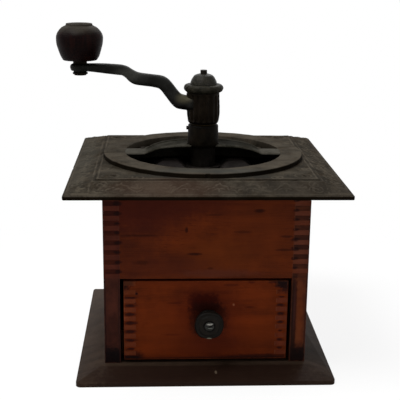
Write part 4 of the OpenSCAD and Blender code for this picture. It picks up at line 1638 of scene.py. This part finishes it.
@dataclass
class HopperWorks:
    """Bowl, bridge, burrs and their fixings, which keep the frame's shapes."""

    def build(self, screw: bpy.types.Material, steel: bpy.types.Material) -> None:
        """Dresses the fixed and turning parts of the mill.

        Args:
            screw: Finish of the screws.
            steel: Finish of the burrs.
        """
        # The bowl's near-black colours are dark iron with painted shade of the hopper's inside.
        bowl = OldIron(
            "bowl iron", screen(6, 4, 4), screen(16, 11, 9), screen(18, 11, 8), 0.3, 0.02, seed=51.0
        ).make()
        # The dark disc round the post is painted shade beside the column.
        grey = OldIron(
            "bridge iron", screen(20, 17, 16), screen(41, 37, 35), screen(28, 22, 19), 0.25,
            gloss=0.04, seed=57.0, cloud_rate=0.12,
            blots=(Blot(0, 0, 11, 11, screen(9, 7, 4), 0.93, 0.3, flat=True),),
        ).make()
        dress("hopper_bowl", bowl)
        eased_copy("bearing_bridge", "bridge_casting", 0.5, grey, Body.CASE)
        dress("bottom_bearing", grey)
        dress("outer_burr", steel)
        dress("inner_burr", steel)
        for node in ("bowl_screws", "bridge_screws", "burr_screws", "bearing_screws", "burr_pin"):
            dress(node, screw)


@dataclass
class RearCover:
    """Fixed rear cover: an arched strip across the mouth and a sunken floor behind it."""

    radius: float = 56.95
    front: float = -8.0
    span: float = 42.5
    rise: float = 5.7
    bulge_r: float = 104.85
    bulge_y: float = -87.85
    floor_z: float = 140.3
    under_z: float = 138.6
    hole: float = 11.8
    columns: int = 281

    def back_edge(self, x: np.ndarray) -> np.ndarray:
        """Y of the strip's back edge: straight at the ends and a wide arc between."""
        arc = self.bulge_y + np.sqrt(np.maximum(self.bulge_r**2 - x**2, 0))
        return np.maximum(-self.front, arc)

    def arch(self, x: np.ndarray) -> np.ndarray:
        """Height of the strip over the ring, level at its ends.

        With q = rise (1 - (x / span)^4) it is half the sum of q and the root of q^2 + 0.36, which
        keeps it softly above 0.

        Args:
            x: X of the points.

        Returns:
            Their height.
        """
        q = self.rise * (1 - (x / self.span) ** 4)
        return RING_Z + 0.5 * (q + np.sqrt(q * q + 0.36)) - 0.02

    def strip(self, share: np.ndarray, back: float) -> tuple[np.ndarray, np.ndarray]:
        """Places on the strip, row by row from its front edge to its back edge.

        A point has x = t times the root of radius^2 - y^2 in column t, and y lies at its share
        of the way from the front edge to the back edge, which is solved by four repeats.

        Args:
            share: Share of every row.
            back: How far before the back edge the rows end.

        Returns:
            X and Y, shaped (rows, columns).
        """
        t = np.linspace(-1, 1, self.columns)[None, :]
        x, y = t * self.radius + 0 * share[:, None], 0 * t + 0 * share[:, None]
        for _ in range(4):
            y = self.front + share[:, None] * (self.back_edge(x) - back - self.front)
            x = t * np.sqrt(self.radius**2 - y**2)
        return x, y

    def snapped(
        self, x: np.ndarray, y: np.ndarray, inside: np.ndarray
    ) -> tuple[np.ndarray, np.ndarray]:
        """Moves the corners of the dropped quads out to the hole's circle.

        Args:
            x: X of the grid.
            y: Y of the grid.
            inside: Whether each point has a dropped quad beside it.

        Returns:
            The new X and Y.
        """
        far = np.maximum(np.hypot(x, y), 1e-6)
        pull = np.where(inside, self.hole / far, 1)
        return x * pull, y * pull

    def surface(self, under: bool) -> tuple[np.ndarray, np.ndarray, dict[str, np.ndarray]]:
        """One side of the cover: strip, wall down behind it and floor out to the mouth's wall.

        Args:
            under: Whether it is the underside.

        Returns:
            Points shaped (rows, columns, 3), whether each quad stays, and the marks.
        """
        share = 0.5 - 0.5 * np.cos(np.linspace(0, math.pi, 44))
        x, y = self.strip(share, 1.6 if under else 0.0)
        middle = np.hypot(*((q[1:, 1:] + q[:-1, :-1]) / 2 for q in (x, y)))
        drop = middle < self.hole
        beside = np.zeros_like(x, bool)
        for rows in (slice(1, None), slice(None, -1)):
            for columns in (slice(1, None), slice(None, -1)):
                beside[rows, columns] |= drop
        x, y = self.snapped(x, y, beside)
        v, w = y - self.front, self.back_edge(x) - y
        pads = smooth_step(39.5, 43.5, np.abs(x))
        groove = smooth_step(5.2, 6.0, v) * smooth_step(2.4, 3.2, w) * (1 - pads)
        lips = np.exp(-v / 0.45) * 0.7 + np.exp(-w / 0.35) * 0.5
        bead = 0.25 * np.exp(-(((w - 1.3) / 0.9) ** 2)) * (1 - pads)
        z = self.arch(x) - 0.55 * groove - lips + bead
        if under:
            z = self.arch(x) - 1.3 - 0.9 * smooth_step(0.5, 4.5, v)
        down = np.linspace(0, 1, 7)[1:, None]
        foot = self.under_z if under else self.floor_z
        wall_z = z[-1:] + down * (foot - z[-1:])
        angle = np.arctan2(y[-1:], x[-1:])
        first, last = angle[0, 0], angle[0, -1]
        goal = first + (last - first) * np.linspace(0, 1, self.columns)[None, :]
        out = np.linspace(0, 1, 22)[1:, None]
        floor_x = x[-1:] * (1 - out) + out * (self.radius - 0.02) * np.cos(goal)
        floor_y = y[-1:] * (1 - out) + out * (self.radius - 0.02) * np.sin(goal)
        xs = np.vstack([x, x[-1:] + 0 * down, floor_x])
        ys = np.vstack([y, y[-1:] + 0 * down, floor_y])
        zs = np.vstack([z, wall_z, foot + 0 * floor_x])
        keep = np.ones((len(xs) - 1, self.columns - 1), bool)
        keep[: len(drop)] = ~drop
        # Lighter lips, bead and end pads and a darker groove: wear on the raised edges with painted
        # highlight and shade. The darkened wall behind the strip and floor along it: patina with painted
        # shade in the recess.
        bright = 0.2 * smooth_step(2.0, 0.4, v) + 0.35 * smooth_step(3.0, 2.0, w) + 0.6 * pads
        bright = np.vstack([bright - 0.25 * groove, 0.1 + 0 * wall_z, 0.55 + 0 * floor_x])
        dirt_and_shade = np.vstack([0.35 * np.exp(-(((w - 2.9) / 0.5) ** 2)) * (1 - pads), 0.5 + 0 * wall_z])
        dirt_and_shade = np.vstack([dirt_and_shade, 0.45 * np.exp(-out * 9) + 0 * floor_x])
        marks = {"relief": np.clip(bright, 0, 1), "grime": np.clip(dirt_and_shade, 0, 1)}
        points = np.stack([xs, ys, zs + 0.05 * ripple(xs, ys, 9.0, 44)], -1)
        return points, keep.reshape(-1), marks

    def build(self, screw: bpy.types.Material) -> None:
        """Makes the casting and dresses its screws.

        Args:
            screw: Finish of the cover's screws.
        """
        iron = OldIron(
            "cover iron", screen(24, 23, 17), screen(72, 69, 62), screen(44, 35, 27), 0.22,
            gloss=0.0, seed=61.0, marked=True, shade=0.2,
        ).make()
        upper, keep, marks = self.surface(False)
        lower, _, _ = self.surface(True)
        shell = slab(upper, lower, keep, marks)
        make_piece("rear_cover_casting", [shell], iron, Body.CASE, "rear_cover")
        dress("cover_screws", screw)


# Column and crank


@dataclass
class ColumnHead:
    """Collar, beaded ring and domed nut on the post."""

    collar_z: float = 149.0
    collar_h: float = 16.4
    collar_r: float = 11.3
    ring_z: float = 189.1
    ring_h: float = 5.4
    ring_r: float = 14.25
    nut_z: float = 194.5

    def collar(self) -> Shell:
        """Collar with a tapered foot, its bore open for the post.

        Its outline of radius and height is turned about the post's axis.

        Returns:
            The closed surface.
        """
        low, top, r = self.collar_z, self.collar_z + self.collar_h, self.collar_r
        outline = eased(
            [
                (9.12, low), (r - 1.3, low), (r - 0.1, low + 2.0), (r, low + 5),
                (r - 0.3, top - 1.2), (r - 0.5, top - 0.4), (r - 1.2, top),
                (5.55, top), (5.55, top - 1.4), (9.12, top - 1.4),
            ],
            0.8,
        )

        def rough(a: np.ndarray, r: np.ndarray, z: np.ndarray) -> np.ndarray:
            """Radius with shallow casting marks."""
            return r + 0.06 * ripple(a * 8, z, 5.0, 14) * (r > 9.6)

        return turned(outline, 120, shape=rough)

    def bead(self) -> Shell:
        """Half-round bead with short cracks in its left side.

        The bead is a half circle of radius h / 2 about a ring, and a crack is a narrow cut at
        a fixed angle that fades over the bead's height.

        Returns:
            The closed surface.
        """
        h, z0 = self.ring_h / 2, self.ring_z + self.ring_h / 2
        t = np.linspace(-math.pi / 2, math.pi / 2, 22)
        arc = np.stack([self.ring_r - h + h * np.cos(t) ** 0.9, z0 + (h - 0.02) * np.sin(t)], -1)
        inner = [(9.6, z0 + h - 0.02), (5.02, z0 + h - 0.02)]
        outline = np.vstack([[(5.02, z0 - h + 0.02)], arc, inner])
        cracks = ((3.32, 0.5), (3.62, 0.65), (4.0, 0.4), (3.9, 0.35), (5.6, 0.25), (0.9, 0.4), (1.8, 0.3))

        def cracked(a: np.ndarray, r: np.ndarray, z: np.ndarray) -> np.ndarray:
            """Radius with cracks and slight waves.

            Args:
                a: Angles.
                r: Radii.
                z: Heights.

            Returns:
                The new radii.
            """
            cuts = 0 * a
            for at, deep in cracks:
                near = smooth_step(0.045, 0.01, np.abs(a - at - 0.05 * (z - z0)))
                cuts = np.maximum(cuts, deep * near)
            return r + (0.07 * ripple(a * 9, z, 4.0, 21) - cuts) * (r > 10)

        return turned(outline, 256, shape=cracked)

    def dome(self) -> Shell:
        """Bell-shaped nut with a nearly flat top and a rolled foot, turned about the post's axis.

        Returns:
            The closed surface.
        """
        side = curve_through([(9.7, 0.8), (9.4, 2), (8.7, 3.5), (7.8, 5), (6.4, 6.5), (3.6, 7.5)], 6)
        outline = np.vstack([[(2.45, 0.02), (9.6, 0.02), (9.9, 0.3)], side, [(2.9, 7.58), (2.45, 7.5)]])
        outline[:, 1] += self.nut_z

        def filed(a: np.ndarray, r: np.ndarray, z: np.ndarray) -> np.ndarray:
            """Radius with faint flats of a file."""
            return r * (1 - 0.008 * np.cos(6 * a) * (r > 5)) + 0.04 * ripple(a * 7, z, 3.0, 33) * (r > 3)

        return turned(outline, 96, shape=filed)

    def build(self, iron: bpy.types.Material, steel: bpy.types.Material) -> None:
        """Makes the turned parts of the column.

        Args:
            iron: Finish of the beaded ring.
            steel: Finish of the shaft.
        """
        # The dark ring at the collar's top edge is painted shade under the hub.
        dark = OldIron(
            "collar iron", screen(8, 6, 4), screen(22, 18, 12), screen(22, 13, 8), 0.35,
            gloss=0.03, seed=97.0, cloud_rate=0.2,
            blots=(Blot(0, 165.2, 14, 1.4, screen(4, 3, 2), 0.9),),
        ).make()
        pale = OldIron(
            "nut iron", screen(15, 14, 11), screen(42, 40, 34), screen(31, 24, 17), 0.3,
            gloss=0.07, metal=0.12, roughness=0.4, seed=85.0, cloud_rate=0.4,
        ).make()
        make_piece("collar_casting", [self.collar()], dark, Body.COLLAR, "adjusting_collar")
        make_piece("beaded_ring", [self.bead()], iron, Body.CRANK, "cap_ring")
        make_piece("domed_nut", [self.dome()], pale, Body.CRANK, "dome_nut")
        brass = OldIron(
            "washer brass", screen(14, 10, 4), screen(40, 31, 15), screen(16, 12, 6), 0.4,
            gloss=0.03, seed=99.0, cloud_rate=0.4,
        )
        dress("thrust_washer", brass.make())
        dress("collar_pin", dark)
        dress("crank_shaft", steel)


@dataclass
class Crank:
    """Fluted hub and gooseneck arm, one casting, with the fixings of its knob."""

    hub_z: float = 166.5
    hub_h: float = 22.6
    hub_r: float = 12.0
    flutes: int = 16
    reach: float = 88.4
    eye_low: float = 37.3
    eye_top: float = 42.2
    eye_r: float = 7.2
    top_edge: tuple[tuple[float, float], ...] = (
        (7, 18.8), (11, 19.3), (15.2, 20.4), (16.9, 21.5), (19.2, 24.1), (23.2, 29.2), (26.6, 32.4),
        (30.8, 34.1), (40, 35.2), (47, 36.3), (51, 38.2), (54.5, 40.3), (58, 41.4), (62, 41.9),
        (72, 42.4), (80, 42.4), (88.4, 42.2),
    )
    low_edge: tuple[tuple[float, float], ...] = (
        (7, 9.6), (12, 9.7), (17.3, 10.2), (20.3, 11.2), (23.5, 14.1), (27.7, 19.6), (31.6, 24.3),
        (36, 25.8), (43, 26.7), (49.3, 27.6), (53.2, 29.6), (56, 32.4), (58.6, 34.1), (61, 34.4),
        (71, 35.5), (80, 36.6), (88.4, 37.3),
    )
    half_width: tuple[float, ...] = (
        6.6, 6.4, 6.1, 5.9, 5.6, 5.2, 4.95, 4.8, 4.6, 4.5, 4.45, 4.42, 4.4, 4.4, 4.7, 5.1, 5.6,
    )

    def hub(self) -> Shell:
        """Fluted barrel.

        The radius loses 0.85 times (0.5 + 0.5 cos 16a)^1.5, faded out at both ends and behind
        the arm.

        Returns:
            The closed surface.
        """
        low, top, r = self.hub_z, self.hub_z + self.hub_h, self.hub_r
        side = curve_through(
            [
                (r - 1.5, low + 0.15), (r - 0.75, low + 1.6), (r, low + 7),
                (r - 0.15, low + 15), (r - 0.35, top - 3), (r - 0.6, top - 0.3),
            ],
            8,
        )
        outline = np.vstack([[(5.05, low), (r - 1.9, low)], side, [(r - 1.1, top), (5.05, top)]])

        def fluted(a: np.ndarray, r: np.ndarray, z: np.ndarray) -> np.ndarray:
            """Radius with the flutes cut in and a shoulder over the arm's root.

            Args:
                a: Angles.
                r: Radii.
                z: Heights.

            Returns:
                The new radii.
            """
            wave = (0.5 + 0.5 * np.cos(self.flutes * a)) ** 1.5
            ends = smooth_step(low + 1.2, low + 3.2, z) * smooth_step(top - 1.0, top - 3.2, z)
            arm = smooth_step(0.42, 0.62, np.abs(a - math.pi))
            cut = 0.85 * wave * ends * np.maximum(arm, z < low + 8) + 0.04 * ripple(a * 9, z, 4, 71)
            root = 0.7 * (1 - arm) * smooth_step(low + 8, low + 11, z)
            return r + (root - cut) * (r > 9)

        return turned(outline, 320, shape=fluted)

    def arm(self) -> Shell:
        """Gooseneck with a rounded section.

        Station by station, c is the middle between top and bottom edge, h half the way from
        bottom to top and w the half width. A point of the section at angle a is
        c + h |sin a|^0.62 + w |cos a|^0.62 with the signs of sine and cosine.

        Returns:
            The closed surface.
        """
        top, low = curve_through(self.top_edge, 10), curve_through(self.low_edge, 10)
        wide = curve_through([[w] for w in self.half_width], 10)[:, 0]
        root = np.exp(-np.clip(top[:, 0] - 9, 0, 99) / 2.6)
        end = np.sqrt(np.clip((self.reach + 0.3 - top[:, 0]) / 3.0, 0.02, 1))
        a = np.linspace(0, 2 * math.pi, 40, endpoint=False)
        sine, cosine = (np.sign(q) * np.abs(q) ** 0.62 for q in (np.sin(a), np.cos(a)))
        middle, half = (top + low) / 2, (top - low) / 2 * (1 + 0.12 * root)[:, None]
        side = middle[:, None, :] + half[:, None, :] * sine[None, :, None]
        across = (wide * (1 + 0.3 * root) * end)[:, None] * cosine[None, :]
        across = across + 0.05 * ripple(side[..., 0], side[..., 1], 9.0, 77)
        points = np.stack([-side[..., 0], across, self.hub_z + side[..., 1]], -1)
        caps = [q.mean(1, keepdims=True) + 0 * q for q in (points[:1], points[-1:])]
        points = np.concatenate([caps[0], points, caps[1]])
        return Shell(points.reshape(-1, 3), grid_faces(len(points), len(a), False, True))

    def eye(self) -> Shell:
        """Round end of the arm, with the boss under it, turned about the pin and bored for it.

        Returns:
            The closed surface.
        """
        low, top, r = self.hub_z + self.eye_low, self.hub_z + self.eye_top, self.eye_r
        outline = eased(
            [
                (2.52, low - 1.2), (4.5, low - 1.2), (4.7, low - 0.5), (5.4, low), (r - 0.7, low + 0.1),
                (r, low + 2), (r - 0.2, top - 1), (r - 1.3, top), (2.52, top),
            ],
            1.2,
        )
        return turned(outline, 72, (-self.reach, 0))

    def build(self, steel: bpy.types.Material) -> None:
        """Makes the casting and dresses the pin, washer and ferrule.

        Args:
            steel: Finish of the small fixings.
        """
        # The two pale blots along the arm are painted highlights.
        iron = OldIron(
            "crank iron", screen(11, 10, 7), screen(33, 33, 31), screen(17, 12, 7), 0.3,
            gloss=0.045, seed=89.0, cloud_rate=0.12,
            blots=(
                Blot(-80, 206, 20, 9, screen(12, 11, 8), 0.45),
                Blot(-55, 201, 9, 4.2, screen(57, 57, 53), 0.75, 0.6),
                Blot(-33, 196, 9, 3, screen(20, 20, 17), 0.5),
                Blot(-15, 185, 5, 3.2, screen(70, 66, 52), 0.75, 0.6),
                Blot(-14, 177.5, 6, 2.6, screen(6, 5, 3), 0.9),
            ),
        ).make()
        # The dark ring at the hub's foot is painted shade where it sits on the collar.
        hub = OldIron(
            "hub iron", screen(9, 6, 3), screen(25, 19, 12), screen(20, 12, 6), 0.3,
            gloss=0.03, seed=93.0, cloud_rate=0.15,
            blots=(Blot(0, 166.8, 14, 1.5, screen(4, 2, 1), 0.9),),
        ).make()
        shells = [self.arm(), self.eye()]
        make_piece("crank_arm_casting", shells, iron, Body.CRANK, "crank_arm")
        make_piece("crank_hub_casting", [self.hub()], hub, Body.CRANK, "crank_arm")
        for node in ("knob_washer", "knob_ferrule"):
            dress(node, hub)
        dress("knob_pin", steel)


@dataclass
class TurnedKnob:
    """Dark turned knob that spins on its pin."""

    radius: float = 16.6
    low: float = 211.2
    height: float = 25.8
    middle_x: float = -88.4
    curve: tuple[tuple[float, float], ...] = (
        (0.72, 0.01), (0.8, 0.09), (0.87, 0.2), (0.925, 0.31), (0.975, 0.43), (1, 0.55), (0.99, 0.66),
        (0.92, 0.77), (0.77, 0.88), (0.61, 0.938),
    )

    def shell(self) -> Shell:
        """Knob with a raised ring round its top and a bore for the pin.

        The profile curve is scaled to radius and height, and turning lines 1.5 mm apart and
        slight waves change the radius by less than a tenth of a millimetre.

        Returns:
            The closed surface.
        """
        r, z0, h = self.radius, self.low, self.height
        side = curve_through(self.curve, 6) * (r, h)
        top = np.array([
            (0.572 * r, h - 1.3), (0.562 * r, h - 0.9), (0.565 * r, h - 0.3), (0.545 * r, h),
            (0.48 * r, h - 0.02), (0.455 * r, h - 0.3), (0.43 * r, h - 0.6), (5.8, h - 0.65),
            (5.35, h - 0.75), (5.35, h - 2.3), (2.58, h - 2.3), (2.58, 0.6),
        ])
        outline = np.vstack([[(8.0, 0.35), (0.66 * r, 0.12)], side, top])
        outline[:, 1] += z0

        def lathe_marks(a: np.ndarray, r: np.ndarray, z: np.ndarray) -> np.ndarray:
            """Radius with turning lines, slight waves and one dent.

            Args:
                a: Angles.
                r: Radii.
                z: Heights.

            Returns:
                The new radii.
            """
            marks = 0.035 * np.sin(z * 2 * math.pi / 1.5) + 0.08 * ripple(a * 10, z, 9.0, 81)
            dent = 0.5 * np.exp(-(((a - 4.2) * 12) ** 2 + (z - z0 - 19) ** 2) / 6)
            return r + (marks - dent) * (r > 8.6)

        return turned(outline, 144, (self.middle_x, 0), lathe_marks)

    def build(self) -> None:
        """Makes the knob."""
        wood = TurnedWood(
            "knob wood", screen(10, 3, 3), screen(22, 6, 4), screen(50, 46, 40), self.low + self.height
        ).make()
        make_piece("turned_knob", [self.shell()], wood, Body.KNOB, "crank_knob")


# Studio


@dataclass(frozen=True)
class Lamp:
    """Square soft lamp that looks at a point over the base."""

    name: str
    place: tuple[float, float, float]
    size: float
    power: float

    def hang(self) -> None:
        """Adds the lamp to the scene."""
        light = bpy.data.lights.new(self.name, "AREA")
        light.shape, light.size, light.energy = "SQUARE", self.size, self.power
        lamp = bpy.data.objects.new(self.name, light)
        lamp.location = self.place
        lamp.rotation_mode = "QUATERNION"
        look = Vector((0, 0, 0.11)) - Vector(self.place)
        lamp.rotation_quaternion = look.to_track_quat("-Z", "Y")
        bpy.context.scene.collection.objects.link(lamp)


@dataclass
class Studio:
    """Pale floor, soft light and the camera."""

    eye: tuple[float, float, float] = (-32.53, -645.03, 285.45)
    pitch: float = 0.2686
    yaw: float = 0.0479
    roll: float = 0.0119
    lens: float = 80.62
    lit_to: float = 130.0
    white_from: float = 330.0
    near_white: float = 0.85
    world: float = 0.3
    lamps: tuple[Lamp, ...] = (
        Lamp("key_lamp", (-0.62, -0.28, 1.5), 0.8, 24),
        Lamp("fill_lamp", (1.1, -1.2, 0.8), 1.2, 4),
        Lamp("rear_lamp", (0.3, 1.1, 1.3), 1.0, 7),
    )

    def camera(self) -> None:
        """Sets the camera at the photograph's place and angle.

        Its view direction is (sin yaw cos pitch, cos yaw cos pitch, -sin pitch), and its sides
        are turned about that by the roll.
        """
        sp, cp = math.sin(self.pitch), math.cos(self.pitch)
        sy, cy = math.sin(self.yaw), math.cos(self.yaw)
        ahead = Vector((sy * cp, cy * cp, -sp))
        side = Vector((cy, -sy, 0))
        over = side.cross(ahead)
        right = math.cos(self.roll) * side + math.sin(self.roll) * over
        up = -math.sin(self.roll) * side + math.cos(self.roll) * over
        data = bpy.data.cameras.new("camera")
        data.lens, data.sensor_width = self.lens, 36.0
        cam = bpy.data.objects.new("camera", data)
        turn = Matrix((right, up, -ahead)).transposed()
        cam.matrix_world = Matrix.Translation(Vector(self.eye) * MM) @ turn.to_4x4()
        bpy.context.scene.collection.objects.link(cam)
        bpy.context.scene.camera = cam

    def background(self) -> None:
        """World that looks white directly and in reflections, and lights softly."""
        world = bpy.data.worlds.new("studio")
        world.use_nodes = True
        bpy.context.scene.world = world
        nodes, links = world.node_tree.nodes, world.node_tree.links
        nodes.clear()
        rays = nodes.new("ShaderNodeLightPath")
        seen = nodes.new("ShaderNodeMath")
        seen.operation = "MAXIMUM"
        links.new(rays.outputs["Is Camera Ray"], seen.inputs[0])
        either = nodes.new("ShaderNodeMath")
        either.operation = "MAXIMUM"
        links.new(rays.outputs["Is Glossy Ray"], either.inputs[0])
        links.new(rays.outputs["Is Transmission Ray"], either.inputs[1])
        links.new(either.outputs[0], seen.inputs[1])
        strength = nodes.new("ShaderNodeMapRange")
        links.new(seen.outputs[0], strength.inputs[0])
        strength.inputs[3].default_value = self.world
        strength.inputs[4].default_value = 1.0
        back = nodes.new("ShaderNodeBackground")
        links.new(strength.outputs[0], back.inputs["Strength"])
        back.inputs["Color"].default_value = (1, 1, 1, 1)
        out = nodes.new("ShaderNodeOutputWorld")
        links.new(back.outputs[0], out.inputs[0])

    def floor(self) -> None:
        """Pale floor that is lit near the object and white by itself further away."""
        shop = Shop("studio floor")
        colour = shop.blend(shop.noise(0.02, 2), (0.95, 0.95, 0.95), (0.98, 0.98, 0.98))
        sockets = {"Base Color": colour, "Roughness": 0.9, "Specular IOR Level": 0.0}
        lit = shop.add("ShaderNodeBsdfPrincipled", {}, sockets)
        white = shop.add("ShaderNodeEmission", {}, {"Color": (1.0, 1.0, 1.0), "Strength": 1.0})
        rays = shop.add("ShaderNodeLightPath", {}, {}).outputs
        seen = Signal(shop, rays["Is Camera Ray"]).most(Signal(shop, rays["Is Glossy Ray"]))
        seen = seen.most(Signal(shop, rays["Is Transmission Ray"]))
        x, y, _ = shop.axes()
        far = ((x**2 + y**2) ** 0.5).step(self.lit_to, self.white_from)
        share = seen * (far * (1 - self.near_white) + self.near_white)
        mix = shop.add("ShaderNodeMixShader", {}, {0: share, 1: lit.outputs[0], 2: white.outputs[0]})
        shop.tree.links.new(mix.outputs[0], shop.out.inputs[0])
        mesh = bpy.data.meshes.new("floor")
        mesh.from_pydata([(-9, -9, 0), (9, -9, 0), (9, 9, 0), (-9, 9, 0)], [], [(0, 1, 2, 3)])
        mesh.materials.append(shop.material)
        ground = bpy.data.objects.new("floor", mesh)
        bpy.context.scene.collection.objects.link(ground)

    def build(self) -> None:
        """Sets camera, background, floor and lamps."""
        bpy.context.scene.view_settings.view_transform = "Standard"
        self.camera()
        self.background()
        self.floor()
        for lamp in self.lamps:
            lamp.hang()


def main() -> None:
    """Builds every sub-assembly in order."""
    logging.basicConfig(level=logging.INFO, format="%(name)s %(message)s")
    Studio().build()
    screw = OldIron(
        "screw iron", screen(24, 21, 17), screen(56, 51, 44), screen(46, 33, 22), 0.35,
        seed=71.0, cloud_rate=0.4,
    ).make()
    steel = BrightMetal("burr steel", screen(60, 58, 54), screen(34, 30, 26), 0.45).make()
    shaft = OldIron(
        "shaft iron", screen(14, 12, 10), screen(40, 37, 33), screen(36, 26, 18), 0.3,
        seed=79.0, cloud_rate=0.3,
    ).make()
    ring = OldIron(
        "ring iron", screen(14, 13, 8), screen(43, 40, 32), screen(23, 16, 9), 0.3,
        gloss=0.05, seed=83.0, cloud_rate=0.2,
    ).make()
    CaseWork().build(screw)
    DrawerBox().build(screw)
    TopPlate().build()
    HopperWorks().build(screw, steel)
    RearCover().build(screw)
    ColumnHead().build(ring, shaft)
    Crank().build(shaft)
    TurnedKnob().build()


if __name__ == "__main__":
    main()
